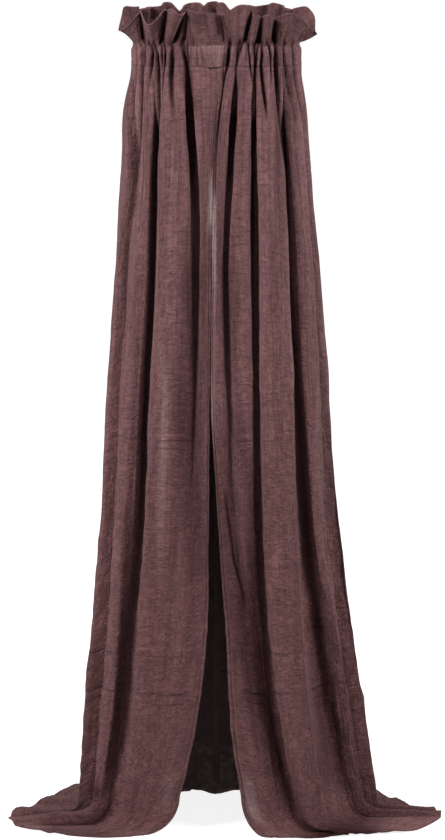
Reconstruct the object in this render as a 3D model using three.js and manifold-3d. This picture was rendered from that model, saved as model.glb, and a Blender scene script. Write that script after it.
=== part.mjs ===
// Bed crown canopy: two gathered gauze curtains on an oval wire crown, open in front, in millimetres
// X runs to the right, the opening faces -Y, Z is up, and the cloth stands on the floor at z = 0
import * as THREE from 'three';
import { mergeVertices } from 'three/addons/utils/BufferGeometryUtils.js';
import Module from 'manifold-3d';

const wasm = await Module();
wasm.setup();

// Cloth
const clothThickness = 1.2;
const patchThickness = 1;
const tapeThickness = 0.8;
const tapeWidth = 12;
const restGap = 0.3;
const floorCut = 0.5;

// Wire crown: two half hoops with straight stretches in front and behind
const hoopHeight = 1396;
const rodDiameter = 6;
const hoopStraight = 100;
const hoopEndRadius = 92;
const rodSides = 12;
const rodSteps = 36;

// Sliding sleeve that closes the crown in front
const sleeveLength = 36;
const sleeveWall = 1.2;
const sleeveEdge = 0.4;
const sleeveTravel = 28;
const roundSides = 24;

// Moulded block behind, with the wire ends in its sides and the pole socket below
const blockWidth = 40;
const blockInnerReach = 14;
const blockOuterReach = 4.5;
const blockAbove = 4.6;
const blockBelow = 25;
const blockCorner = 2;
const blockBevel = 0.8;
const blockBevelSteps = 2;
const blockCornerSteps = 4;
const wireGrip = 13;
const socketDiameter = 12.6;
const socketDepth = 19;
const socketSetback = 4.75;
const cutOverrun = 2;
const weldDistance = 1e-4;

// Grub screws that hold the wire ends in the block
const screwDiameter = 4;
const screwLength = 9.5;
const screwInset = 8;
const driveDiameter = 2.4;
const driveDepth = 2;
const driveSides = 6;

// Header: tunnel for the wire, with a frill above it
const tunnelHeight = 36;
const frillHeight = 54;
const frillFlare = 27;
const frontLap = 12;
const seamRamp = 12;

// Patch over the tunnel where the halves meet in front
const patchTopWidth = 46;
const patchBottomWidth = 23;
const patchHeight = 34;
const patchTopShift = -10;
const patchBottomShift = -3.5;

// Reach of the folded cloth to each side of the crown's middle at three levels, and in front and behind
const leftShoulderReach = 165;
const leftMiddleReach = 189;
const leftFootReach = 251;
const rightShoulderReach = 158;
const rightMiddleReach = 190;
const rightFootReach = 286;
const frontShoulderDepth = 104;
const frontMiddleDepth = 118;
const frontFootDepth = 122;
const backShoulderDepth = 104;
const backMiddleDepth = 126;
const backFootDepth = 150;
const leftShoulderTuck = 9;
const rightShoulderTuck = 2;

// Depth of the main folds at the seam, at half height and at the floor
const seamFold = 5;
const middleFold = 16;
const footFold = 20;

// Hem of each curtain on the floor, measured from the crown's middle
const leftTrainReach = 380;
const rightTrainReach = 412;
const frontTrainReach = 156;
const backTrainReach = 226;
const bendRadius = 30;
const edgeBendRadius = 66;
const trainHump = 15;
const seamClearance = 0.15;

// Heights of the shoulder and of the middle level, as shares of the height below the tunnel
const shoulderShare = 0.9;
const middleShare = 0.62;
const humpFadeShare = 0.5;

// How much of the wider bend at the slit the lines beside it still have
const edgeBendShares = [1, 0.75, 0.5, 0.3, 0.1];

const rodRadius = rodDiameter / 2;
const sleeveBoreRadius = rodRadius + restGap;
const sleeveRadius = sleeveBoreRadius + sleeveWall;
const halfCloth = clothThickness / 2;
const crownHalfWidth = hoopStraight / 2 + hoopEndRadius;
const straightShare = hoopStraight / 2 / crownHalfWidth;
const seamHeight = hoopHeight + rodRadius + restGap + halfCloth;
const lowerSeamHeight = seamHeight - tunnelHeight;
const wallReach = Math.max(sleeveRadius, blockOuterReach) + restGap + halfCloth;
const seamReach = halfCloth + restGap / 2;
const panelTop = lowerSeamHeight - restGap;

// Fold tables, from the front edge to the back seam. A line follows a crest or a hollow: its turn at the seam,
// at half height and at the floor in shares of the half turn, how far it stands out at the seam, at half height
// and at the floor in shares of the fold, and its hem across and along in shares of the train's reach
const leftFoldShares = [
  { turn: [0.003, 0.015, 0.066], lift: [0.2, -0.1, -0.2], hem: [0.34, -0.7] },
  { turn: [0.024, 0.035, 0.086], lift: [0.8, 0.5, -0.05], hem: [0.43, -0.83] },
  { turn: [0.092, 0.061, 0.107], lift: [-0.7, -0.6, 0.1], hem: [0.53, -0.91] },
  { turn: [0.135, 0.128, 0.133], lift: [0.6, 0.5, 0.4], hem: [0.7, -0.99] },
  { turn: [0.195, 0.199, 0.208], lift: [0.9, 1.1, 0.6], hem: [0.85, -0.76] },
  { turn: [0.224, 0.235, 0.27], lift: [-1, -1.2, -0.45], hem: [0.95, -0.57] },
  { turn: [0.275, 0.28, 0.33], lift: [0.8, 0.8, 0.35], hem: [1, -0.38] },
  { turn: [0.325, 0.347, 0.364], lift: [-0.5, -0.3, -0.2], hem: [0.98, -0.12] },
  { turn: [0.43, 0.41, 0.444], lift: [0.8, 0.9, 0.8], hem: [0.945, 0.11] },
  { turn: [0.5, 0.49, 0.51], lift: [-0.8, -0.9, -0.7], hem: [0.88, 0.31] },
  { turn: [0.56, 0.555, 0.57], lift: [0.9, 1, 0.9], hem: [0.84, 0.45] },
  { turn: [0.62, 0.61, 0.625], lift: [-0.9, -1, -0.8], hem: [0.82, 0.64] },
  { turn: [0.68, 0.675, 0.68], lift: [0.8, 1, 0.9], hem: [0.77, 0.85] },
  { turn: [0.74, 0.735, 0.74], lift: [-0.8, -1.1, -0.8], hem: [0.67, 1] },
  { turn: [0.8, 0.8, 0.8], lift: [0.9, 1, 0.9], hem: [0.52, 0.97] },
  { turn: [0.865, 0.87, 0.865], lift: [-0.9, -0.9, -0.7], hem: [0.36, 0.9] },
  { turn: [0.935, 0.94, 0.935], lift: [0.8, 0.8, 0.7], hem: [0.18, 0.89] },
  { turn: [1, 1, 1], lift: [-0.3, -0.3, -0.2], hem: [0, 0.83] },
];
const rightFoldShares = [
  { turn: [0.011, -0.002, 0.045], lift: [0.1, -0.2, 0.1], hem: [0.18, -0.93] },
  { turn: [0.031, 0.022, 0.067], lift: [0.8, 0.5, 0.3], hem: [0.25, -0.97] },
  { turn: [0.06, 0.05, 0.112], lift: [-0.7, -0.6, -0.2], hem: [0.35, -0.96] },
  { turn: [0.084, 0.09, 0.135], lift: [0.6, 0.6, 0.1], hem: [0.42, -0.98] },
  { turn: [0.132, 0.123, 0.158], lift: [-1, -1.1, -0.3], hem: [0.49, -0.98] },
  { turn: [0.155, 0.145, 0.18], lift: [0.8, 0.9, 0.5], hem: [0.56, -1] },
  { turn: [0.19, 0.205, 0.22], lift: [0.3, 0.7, 0.4], hem: [0.65, -0.95] },
  { turn: [0.225, 0.258, 0.263], lift: [0.9, 1.1, 0.6], hem: [0.74, -0.82] },
  { turn: [0.254, 0.295, 0.322], lift: [-1, -1.2, -0.6], hem: [0.84, -0.62] },
  { turn: [0.306, 0.341, 0.39], lift: [0.8, 0.8, 0.7], hem: [0.92, -0.36] },
  { turn: [0.344, 0.383, 0.422], lift: [-0.4, -0.3, -0.3], hem: [0.985, -0.12] },
  { turn: [0.436, 0.436, 0.49], lift: [0.8, 0.9, 0.8], hem: [1, 0.06] },
  { turn: [0.505, 0.51, 0.54], lift: [-0.8, -0.9, -0.8], hem: [0.93, 0.27] },
  { turn: [0.565, 0.57, 0.59], lift: [0.9, 1, 0.9], hem: [0.86, 0.38] },
  { turn: [0.625, 0.625, 0.64], lift: [-0.9, -1, -0.8], hem: [0.8, 0.58] },
  { turn: [0.685, 0.685, 0.695], lift: [0.8, 1, 0.9], hem: [0.73, 0.77] },
  { turn: [0.745, 0.745, 0.75], lift: [-0.8, -1.1, -0.8], hem: [0.62, 0.93] },
  { turn: [0.805, 0.81, 0.81], lift: [0.9, 1, 0.9], hem: [0.47, 0.95] },
  { turn: [0.87, 0.875, 0.87], lift: [-0.9, -0.9, -0.7], hem: [0.32, 0.9] },
  { turn: [0.935, 0.94, 0.935], lift: [0.8, 0.8, 0.7], hem: [0.16, 0.89] },
  { turn: [1, 1, 1], lift: [-0.3, -0.3, -0.2], hem: [0, 0.83] },
];

// Frill tables: turn of a crest or a pinch, how far its top leans out and how high it stands
const leftWaveShares = [
  [0.03, 0.12, 1], [0.07, 0.1, 0.98], [0.1, -0.12, 0.95], [0.157, 0.75, 0.92], [0.205, -0.2, 1],
  [0.26, 0.7, 0.9], [0.315, -0.2, 1], [0.375, 0.85, 0.86], [0.435, 0, 0.95], [0.5, 1, 0.6],
  [0.56, -0.1, 1], [0.62, 0.75, 0.86], [0.68, -0.2, 1], [0.74, 0.7, 0.95], [0.8, -0.15, 1.02],
  [0.86, 0.65, 0.95], [0.93, -0.1, 1.03],
];
const rightWaveShares = [
  [0.066, 0.75, 0.92], [0.111, -0.15, 1], [0.147, 0.6, 0.95], [0.183, -0.2, 1], [0.214, 0.65, 0.92],
  [0.245, -0.2, 1.02], [0.295, 0.7, 0.9], [0.345, -0.1, 1], [0.4, 0.8, 0.85], [0.455, 0, 0.9],
  [0.508, 1, 0.55], [0.565, -0.1, 1], [0.62, 0.7, 0.88], [0.68, -0.2, 1], [0.74, 0.75, 0.95],
  [0.8, -0.15, 1.03], [0.86, 0.65, 0.95], [0.93, -0.1, 1.02],
];
const frontEndWaveShares = [0.08, 1];
const backEndWaveShares = [0.15, 1];

// Rows of the cloth grids: down the fall, round the bend at the floor, along the train, and up the header,
// where the tunnel's rows give the height and how far the wall stands out
const fallRowShares = [1, 0.965, 0.92, 0.86, 0.77, 0.66, 0.54, 0.42, 0.3, 0.18, 0.08, 0];
const bendRowShares = [0.5, 1];
const trainRowShares = [0.5, 1];
const wallRowShares = [[0, 0], [0.16, 1], [0.55, 1], [1, 1]];
const frillRowShares = [0, 0.3, 0.65, 1];
const spanSteps = 2;
const facingColumns = 22;
const patchColumns = 4;
const patchRowShares = [0, 1];

const left = {
  sign: -1,
  folds: leftFoldShares,
  waves: leftWaveShares,
  reaches: [leftShoulderReach, leftMiddleReach, leftFootReach],
  tuck: leftShoulderTuck,
  trainReach: leftTrainReach,
  headerStart: frontLap,
};
const right = {
  sign: 1,
  folds: rightFoldShares,
  waves: rightWaveShares,
  reaches: [rightShoulderReach, rightMiddleReach, rightFootReach],
  tuck: rightShoulderTuck,
  trainReach: rightTrainReach,
  headerStart: frontLap + restGap,
};

const clothMaterial = new THREE.MeshStandardMaterial({ color: 0x6b4d4d, roughness: 0.95, metalness: 0 });
const patchMaterial = new THREE.MeshStandardMaterial({ color: 0x75575a, roughness: 0.95, metalness: 0 });
const tapeMaterial = new THREE.MeshStandardMaterial({ color: 0x5d4143, roughness: 0.95, metalness: 0 });
const wireMaterial = new THREE.MeshStandardMaterial({ color: 0xe9e6e1, roughness: 0.45, metalness: 0.3 });
const sleeveMaterial = new THREE.MeshStandardMaterial({ color: 0xb9babd, roughness: 0.4, metalness: 0.9 });
const blockMaterial = new THREE.MeshStandardMaterial({ color: 0xe4e1db, roughness: 0.7, metalness: 0 });
const screwMaterial = new THREE.MeshStandardMaterial({ color: 0x9a9da1, roughness: 0.4, metalness: 0.9 });

const canopy = new THREE.Group();

function addMesh(name, geometry, material) {
  const mesh = new THREE.Mesh(geometry, material);
  mesh.name = name;
  canopy.add(mesh);
  return mesh;
}

// The parabola through a value at the top, at a share of the height, and at the foot
function throughThree([top, middle, foot], share, height) {
  const topPart = top * height * (height - share) / (1 - share);
  const middlePart = middle * height * (1 - height) / (share * (1 - share));
  const footPart = foot * (1 - height) * (share - height) / share;
  return topPart + middlePart + footPart;
}

// A point of a level outline with straight sides and round ends, and the direction out of it
function outlinePoint(side, halfWidth, depth, turn, offset) {
  const angle = turn * Math.PI;
  const across = halfWidth * Math.sin(angle);
  const straight = halfWidth * straightShare;
  const endWidth = halfWidth - straight;
  const past = Math.max(0, Math.abs(across) - straight);
  const along = -Math.sign(Math.cos(angle)) * depth * Math.sqrt(Math.max(0, 1 - (past / endWidth) ** 2));
  const outward = new THREE.Vector2(Math.sign(across) * past / endWidth ** 2, along / depth ** 2).normalize();
  return new THREE.Vector2(side.sign * (across + outward.x * offset), along + outward.y * offset);
}

function crownPoint(side, turn, offset, height) {
  const point = outlinePoint(side, crownHalfWidth, hoopEndRadius, turn, offset);
  return new THREE.Vector3(point.x, point.y, height);
}

// The turn in front at which the crown is this far from its middle
function turnAt(across) {
  return Math.asin(across / crownHalfWidth) / Math.PI;
}

// How far the seam is lifted where it passes over the sleeve's travel or over the block
function seamLift(turn) {
  const across = crownHalfWidth * Math.abs(Math.sin(turn * Math.PI));
  const [reach, lift] = turn < 0.5
    ? [sleeveLength / 2 + sleeveTravel, sleeveRadius - rodRadius]
    : [blockWidth / 2 + seamRamp, blockAbove - rodRadius + clothThickness];
  return lift * (1 - THREE.MathUtils.smoothstep(across, reach, reach + 2 * seamRamp));
}

// Half width and depth of the cloth's outline at a height between 0 and 1, before the folds
function levelOutline(side, height, behind) {
  const [shoulder, middle] = side.reaches;
  const top = shoulder + (shoulder - middle) * (1 - shoulderShare) / (shoulderShare - middleShare);
  const tuck = side.tuck * THREE.MathUtils.smoothstep(height, shoulderShare, 1);
  const halfWidth = throughThree([top, middle, side.reaches[2]], middleShare, height) - tuck - foldDepth(height);
  const depths = behind
    ? [hoopEndRadius, backMiddleDepth, backFootDepth]
    : [hoopEndRadius, frontMiddleDepth, frontFootDepth];
  const shoulderDepth = behind ? backShoulderDepth : frontShoulderDepth;
  const puff = (shoulderDepth - hoopEndRadius) * Math.sin(Math.PI * THREE.MathUtils.clamp(
    (1 - height) / (1 - middleShare), 0, 1)) / 2;
  return [halfWidth, throughThree(depths, middleShare, height) + puff];
}

function foldDepth(height) {
  return throughThree([seamFold, middleFold, footFold], middleShare, height);
}

// A crest or hollow at a height between 0 and 1 above the floor
function fallPoint(side, line, height) {
  const turn = throughThree(line.turn, middleShare, height);
  const [halfWidth, depth] = levelOutline(side, height, turn > 0.5);
  const lift = throughThree(line.lift, middleShare, height) * foldDepth(height);
  return outlinePoint(side, halfWidth, depth, turn, lift);
}

function hemPoint(side, [across, along]) {
  const reach = along < 0 ? frontTrainReach : backTrainReach;
  return new THREE.Vector2(side.sign * across * side.trainReach, along * reach);
}

// A point of a line: step 0 to 1 down the fall, 1 to 2 round the bend, 2 to 3 along the train
function linePoint(side, line, step) {
  const fromEdge = side.folds.indexOf(line);
  const radius = bendRadius + (edgeBendRadius - bendRadius) * (edgeBendShares[fromEdge] ?? 0);
  const fall = THREE.MathUtils.clamp(1 - step, 0, 1);
  const height = (radius + fall * (panelTop - radius)) / panelTop;
  const foot = fallPoint(side, line, height);
  if (step <= 1) return new THREE.Vector3(foot.x, foot.y, height * panelTop);
  const hem = hemPoint(side, line.hem);
  const run = hem.clone().sub(foot);
  const length = run.length();
  const turned = THREE.MathUtils.clamp(step - 1, 0, 1) * Math.PI / 2;
  const along = THREE.MathUtils.clamp(step - 2, 0, 1);
  const bend = Math.min(radius, length);
  const out = bend * (1 - Math.cos(turned)) + along * (length - bend);
  const hump = Math.max(0, line.lift[2]) * trainHump * Math.sin(turned) * (1 - humpFadeShare * along);
  const z = halfCloth - floorCut + radius * (1 - Math.sin(turned)) + hump;
  return new THREE.Vector3(foot.x, foot.y, z).add(new THREE.Vector3(run.x, run.y, 0).setLength(out));
}

// A closed shell: a grid of points thickened to both sides, kept above the floor. Sewn rows end level, and
// columns that meet the other half end square to the middle plane
function shellGeometry(grid, thickness, facing, { sewnRows = [], metColumns = [] } = {}) {
  const rows = grid.length;
  const columns = grid[0].length;
  const positions = [];
  for (const side of [1, -1]) {
    for (let r = 0; r < rows; r += 1) {
      for (let c = 0; c < columns; c += 1) {
        const across = grid[r][Math.min(c + 1, columns - 1)].clone().sub(grid[r][Math.max(c - 1, 0)]);
        const down = grid[Math.min(r + 1, rows - 1)][c].clone().sub(grid[Math.max(r - 1, 0)][c]);
        const normal = across.cross(down);
        if (sewnRows.includes(r)) normal.z = 0;
        if (metColumns.includes(c)) normal.x = 0;
        normal.setLength(facing * side * thickness / 2);
        const point = grid[r][c].clone().add(normal);
        positions.push(point.x, point.y, Math.max(point.z, 0));
      }
    }
  }
  const layer = rows * columns;
  const triangles = [];
  const quad = (a, b, c, d) => triangles.push(...(facing > 0 ? [a, b, c, a, c, d] : [a, c, b, a, d, c]));
  const at = (r, c) => r * columns + c;
  const last = columns - 1;
  for (let r = 0; r + 1 < rows; r += 1) {
    for (let c = 0; c + 1 < columns; c += 1) {
      quad(at(r, c), at(r, c + 1), at(r + 1, c + 1), at(r + 1, c));
      quad(layer + at(r, c), layer + at(r + 1, c), layer + at(r + 1, c + 1), layer + at(r, c + 1));
    }
    quad(at(r, 0), at(r + 1, 0), layer + at(r + 1, 0), layer + at(r, 0));
    quad(at(r + 1, last), at(r, last), layer + at(r, last), layer + at(r + 1, last));
  }
  for (let c = 0; c + 1 < columns; c += 1) {
    quad(at(0, c + 1), at(0, c), layer + at(0, c), layer + at(0, c + 1));
    quad(at(rows - 1, c), at(rows - 1, c + 1), layer + at(rows - 1, c + 1), layer + at(rows - 1, c));
  }
  const geometry = new THREE.BufferGeometry();
  geometry.setAttribute('position', new THREE.Float32BufferAttribute(positions, 3));
  geometry.setIndex(triangles);
  return geometry;
}

// Samples a smooth curve through the guide points
function smoothRow(points) {
  const curve = new THREE.CatmullRomCurve3(points, false, 'centripetal');
  return curve.getPoints((points.length - 1) * spanSteps);
}

// Curtains
function curtainSteps() {
  const fall = fallRowShares.map((share) => 1 - share);
  const bend = bendRowShares.map((share) => 1 + share);
  const train = trainRowShares.map((share) => 2 + share);
  return [...fall, ...bend, ...train];
}

function curtainGrid(side) {
  return curtainSteps().map((step) => {
    const points = side.folds.map((line) => linePoint(side, line, step));
    points[points.length - 1].x = side.sign * seamClearance;
    return smoothRow(points);
  });
}

for (const [name, side] of [['left_panel', left], ['right_panel', right]]) {
  const grid = curtainGrid(side);
  const edges = { sewnRows: [0], metColumns: [grid[0].length - 1] };
  addMesh(name, shellGeometry(grid, clothThickness, side.sign, edges), clothMaterial);
}

// Header: the outer wall of the tunnel and the frill above the upper seam
function wallRow(side, turns, [heightShare, reachShare]) {
  return turns.map(([turn]) => {
    const reach = THREE.MathUtils.lerp(seamReach, wallReach, reachShare);
    const shoulderHeight = seamHeight - clothThickness + seamLift(turn);
    return crownPoint(side, turn, reach, THREE.MathUtils.lerp(lowerSeamHeight, shoulderHeight, heightShare));
  });
}

function frillRow(side, turns, share) {
  return turns.map(([turn, lean, stand]) => {
    const height = seamHeight + seamLift(turn) + stand * frillHeight * share;
    return crownPoint(side, turn, seamReach + lean * frillFlare * share ** 2, height);
  });
}

function headerTurns(side) {
  const start = turnAt(side.sign * side.headerStart);
  const end = 1 - turnAt(seamClearance);
  return [[start, ...frontEndWaveShares], ...side.waves, [end, ...backEndWaveShares]];
}

function headerGrid(side) {
  const turns = headerTurns(side);
  const rows = [
    ...wallRowShares.map((shares) => wallRow(side, turns, shares)),
    ...frillRowShares.map((share) => frillRow(side, turns, share)),
  ];
  return rows.map(smoothRow).reverse();
}

for (const [name, side] of [['left_header', left], ['right_header', right]]) {
  const grid = headerGrid(side);
  const edges = { sewnRows: [grid.length - 1], metColumns: [0, grid[0].length - 1] };
  addMesh(name, shellGeometry(grid, clothThickness, side.sign, edges), clothMaterial);
}

// Facing: the inner wall of the tunnel, open where the block comes through it
function facingGrid(side) {
  const start = turnAt(side.sign * side.headerStart);
  const end = 1 - turnAt(blockWidth / 2 + clothThickness + restGap);
  const row = (reach, height, lifted) => Array.from({ length: facingColumns + 1 }, (unused, index) => {
    const turn = THREE.MathUtils.lerp(start, end, index / facingColumns);
    return crownPoint(side, turn, reach, height + lifted * seamLift(turn));
  });
  return [
    row(-seamReach, seamHeight, 1),
    row(-wallReach, seamHeight - clothThickness, 1),
    row(-wallReach, lowerSeamHeight + tunnelHeight * wallRowShares[1][0], 0),
    row(-seamReach, lowerSeamHeight, 0),
  ];
}

for (const [name, side] of [['left_tunnel_facing', left], ['right_tunnel_facing', right]]) {
  const grid = facingGrid(side);
  const edges = { sewnRows: [0, grid.length - 1] };
  addMesh(name, shellGeometry(grid, clothThickness, side.sign, edges), clothMaterial);
}

// Hoops: each runs from the butt joint in front round one side into the block
class HalfHoop extends THREE.Curve {
  constructor(side, frontGap, backEnd) {
    super();
    this.side = side;
    this.start = frontGap;
    this.frontRun = hoopStraight / 2 - frontGap;
    this.arcRun = Math.PI * hoopEndRadius;
    this.backRun = hoopStraight / 2 - backEnd;
  }

  getPoint(t, target = new THREE.Vector3()) {
    const run = t * (this.frontRun + this.arcRun + this.backRun);
    if (run <= this.frontRun) {
      return target.set(this.side.sign * (this.start + run), -hoopEndRadius, hoopHeight);
    }
    const bent = Math.min(run - this.frontRun, this.arcRun) / hoopEndRadius;
    const behind = Math.max(0, run - this.frontRun - this.arcRun);
    const across = hoopStraight / 2 + hoopEndRadius * Math.sin(bent) - behind;
    return target.set(this.side.sign * across, -hoopEndRadius * Math.cos(bent), hoopHeight);
  }
}

function rodSection() {
  const shape = new THREE.Shape();
  for (let i = 0; i < rodSides; i += 1) {
    const angle = i * 2 * Math.PI / rodSides;
    const point = new THREE.Vector2(rodRadius * Math.cos(angle), rodRadius * Math.sin(angle));
    if (i === 0) shape.moveTo(point.x, point.y);
    else shape.lineTo(point.x, point.y);
  }
  shape.closePath();
  return shape;
}

for (const [name, side] of [['left_hoop', left], ['right_hoop', right]]) {
  const path = new HalfHoop(side, restGap / 2, blockWidth / 2 - wireGrip + restGap);
  const geometry = new THREE.ExtrudeGeometry(rodSection(), { steps: rodSteps, extrudePath: path });
  addMesh(name, geometry, wireMaterial);
}

// Sleeve
function sleeveProfile() {
  const half = sleeveLength / 2;
  return [
    new THREE.Vector2(sleeveBoreRadius, -half),
    new THREE.Vector2(sleeveRadius - sleeveEdge, -half),
    new THREE.Vector2(sleeveRadius, -half + sleeveEdge),
    new THREE.Vector2(sleeveRadius, half - sleeveEdge),
    new THREE.Vector2(sleeveRadius - sleeveEdge, half),
    new THREE.Vector2(sleeveBoreRadius, half),
    new THREE.Vector2(sleeveBoreRadius, -half),
  ];
}

const sleeve = addMesh('front_sleeve', new THREE.LatheGeometry(sleeveProfile(), roundSides), sleeveMaterial);
sleeve.rotation.z = Math.PI / 2;
sleeve.position.set(0, -hoopEndRadius, hoopHeight);

// Solids for cutting
function toSolid(geometry) {
  const bare = geometry.clone();
  for (const name of Object.keys(bare.attributes)) {
    if (name !== 'position') bare.deleteAttribute(name);
  }
  const merged = mergeVertices(bare, weldDistance);
  return new wasm.Manifold(new wasm.Mesh({
    numProp: 3,
    vertProperties: new Float32Array(merged.attributes.position.array),
    triVerts: new Uint32Array(merged.index.array),
  }));
}

function toGeometry(solid) {
  const mesh = solid.getMesh();
  const geometry = new THREE.BufferGeometry();
  geometry.setAttribute('position', new THREE.Float32BufferAttribute(mesh.vertProperties, 3));
  geometry.setIndex(Array.from(mesh.triVerts));
  return geometry;
}

function cutter(radius, length, sides, place) {
  const geometry = new THREE.CylinderGeometry(radius, radius, length, sides);
  geometry.applyMatrix4(place);
  return toSolid(geometry);
}

function placed(x, y, z, rotateX, rotateZ) {
  const turned = new THREE.Quaternion().setFromEuler(new THREE.Euler(rotateX, 0, rotateZ));
  return new THREE.Matrix4().compose(new THREE.Vector3(x, y, z), turned, new THREE.Vector3(1, 1, 1));
}

// Block
const blockDepth = blockInnerReach + blockOuterReach;
const blockMiddleY = hoopEndRadius + (blockOuterReach - blockInnerReach) / 2;

function blockOutline() {
  const halfWidth = blockWidth / 2 - blockBevel;
  const halfDepth = blockDepth / 2 - blockBevel;
  const shape = new THREE.Shape();
  shape.moveTo(-halfWidth + blockCorner, -halfDepth);
  shape.lineTo(halfWidth - blockCorner, -halfDepth);
  shape.absarc(halfWidth - blockCorner, -halfDepth + blockCorner, blockCorner, -Math.PI / 2, 0);
  shape.lineTo(halfWidth, halfDepth - blockCorner);
  shape.absarc(halfWidth - blockCorner, halfDepth - blockCorner, blockCorner, 0, Math.PI / 2);
  shape.lineTo(-halfWidth + blockCorner, halfDepth);
  shape.absarc(-halfWidth + blockCorner, halfDepth - blockCorner, blockCorner, Math.PI / 2, Math.PI);
  shape.lineTo(-halfWidth, -halfDepth + blockCorner);
  shape.absarc(-halfWidth + blockCorner, -halfDepth + blockCorner, blockCorner, Math.PI, 3 * Math.PI / 2);
  return shape;
}

function blockSolid() {
  const geometry = new THREE.ExtrudeGeometry(blockOutline(), {
    depth: blockAbove + blockBelow - 2 * blockBevel,
    bevelThickness: blockBevel,
    bevelSize: blockBevel,
    bevelSegments: blockBevelSteps,
    curveSegments: blockCornerSteps,
  });
  geometry.translate(0, blockMiddleY, hoopHeight - blockBelow + blockBevel);
  return toSolid(geometry);
}

const screwRadius = screwDiameter / 2;
const screwHoleLength = blockInnerReach - rodRadius + cutOverrun;

function blockGeometry() {
  let solid = blockSolid();
  for (const sign of [-1, 1]) {
    const boreLength = wireGrip + cutOverrun;
    const boreX = sign * (blockWidth / 2 + cutOverrun - boreLength / 2);
    const bore = placed(boreX, hoopEndRadius, hoopHeight, 0, Math.PI / 2);
    solid = solid.subtract(cutter(rodRadius + restGap, boreLength, roundSides, bore));
    const holeY = hoopEndRadius - blockInnerReach - cutOverrun + screwHoleLength / 2;
    const hole = placed(sign * (blockWidth / 2 - screwInset), holeY, hoopHeight, 0, 0);
    solid = solid.subtract(cutter(screwRadius + restGap, screwHoleLength, roundSides, hole));
  }
  const socketLength = socketDepth + cutOverrun;
  const socketZ = hoopHeight - blockBelow - cutOverrun + socketLength / 2;
  const socket = placed(0, hoopEndRadius - socketSetback, socketZ, Math.PI / 2, 0);
  return toGeometry(solid.subtract(cutter(socketDiameter / 2, socketLength, roundSides, socket)));
}

addMesh('rear_block', blockGeometry(), blockMaterial);

// Grub screws, each with a hexagon recess, tight against the wire
function screwGeometry(sign) {
  const x = sign * (blockWidth / 2 - screwInset);
  const outerY = hoopEndRadius - rodRadius - restGap - screwLength;
  const shank = placed(x, outerY + screwLength / 2, hoopHeight, 0, 0);
  const body = cutter(screwRadius, screwLength, roundSides, shank);
  const recess = placed(x, outerY + (driveDepth - cutOverrun) / 2, hoopHeight, 0, 0);
  return toGeometry(body.subtract(cutter(driveDiameter / 2, driveDepth + cutOverrun, driveSides, recess)));
}

addMesh('left_clamp_screw', screwGeometry(-1), screwMaterial);
addMesh('right_clamp_screw', screwGeometry(1), screwMaterial);

// Patch: a trapezoid that lies on the tunnel's straight front
function patchGrid() {
  const offset = halfCloth + restGap + patchThickness / 2;
  const top = seamHeight + seamLift(0) - clothThickness;
  return patchRowShares.map((share) => {
    const width = THREE.MathUtils.lerp(patchTopWidth, patchBottomWidth, share);
    const shift = THREE.MathUtils.lerp(patchTopShift, patchBottomShift, share);
    return Array.from({ length: patchColumns + 1 }, (unused, index) => new THREE.Vector3(
      shift + width * (index / patchColumns - 1 / 2),
      -hoopEndRadius - wallReach - offset,
      top - share * patchHeight,
    ));
  });
}

addMesh('front_patch', shellGeometry(patchGrid(), patchThickness, 1), patchMaterial);

// Tape over the seam behind, inside the cloth
function tapeGrid() {
  const inset = halfCloth + restGap + tapeThickness / 2;
  return fallRowShares.map((share) => {
    const step = 1 - share;
    const line = left.folds.at(-1);
    const point = linePoint(left, line, step);
    return [-1, 0, 1].map((share) => new THREE.Vector3(share * tapeWidth / 2, point.y - inset, point.z));
  });
}

addMesh('back_seam_tape', shellGeometry(tapeGrid(), tapeThickness, -1), tapeMaterial);

// The part stands on the middle of its own foot
const bounds = new THREE.Box3().setFromObject(canopy);
const middle = bounds.getCenter(new THREE.Vector3());
const part = new THREE.Group();
canopy.position.set(-middle.x, -middle.y, -bounds.min.z);
part.add(canopy);

export default part;
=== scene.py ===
"""Bed crown canopy: gathered gauze curtains and a frilled header on a wire crown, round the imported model"""
import math

import bpy
import numpy as np
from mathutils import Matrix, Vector


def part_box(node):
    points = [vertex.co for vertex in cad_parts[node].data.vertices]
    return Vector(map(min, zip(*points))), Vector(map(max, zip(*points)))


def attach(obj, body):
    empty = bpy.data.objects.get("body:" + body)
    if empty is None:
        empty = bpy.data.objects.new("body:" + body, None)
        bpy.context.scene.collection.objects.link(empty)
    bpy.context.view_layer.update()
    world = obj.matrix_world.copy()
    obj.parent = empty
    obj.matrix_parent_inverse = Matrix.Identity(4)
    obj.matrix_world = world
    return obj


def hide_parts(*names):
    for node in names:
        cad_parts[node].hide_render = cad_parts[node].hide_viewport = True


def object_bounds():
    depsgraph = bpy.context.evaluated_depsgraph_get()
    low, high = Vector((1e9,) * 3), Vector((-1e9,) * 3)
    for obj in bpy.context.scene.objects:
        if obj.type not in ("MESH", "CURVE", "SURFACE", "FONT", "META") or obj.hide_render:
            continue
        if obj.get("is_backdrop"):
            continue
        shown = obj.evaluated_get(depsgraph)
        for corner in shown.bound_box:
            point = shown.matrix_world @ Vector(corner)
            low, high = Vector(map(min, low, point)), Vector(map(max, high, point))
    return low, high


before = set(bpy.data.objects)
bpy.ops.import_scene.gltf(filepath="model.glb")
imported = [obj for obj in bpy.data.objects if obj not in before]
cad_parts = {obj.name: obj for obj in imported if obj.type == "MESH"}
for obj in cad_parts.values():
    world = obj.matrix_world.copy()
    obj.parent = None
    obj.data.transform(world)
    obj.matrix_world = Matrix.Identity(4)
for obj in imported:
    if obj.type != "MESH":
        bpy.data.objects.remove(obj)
cad_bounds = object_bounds()
MM = 0.001

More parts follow.
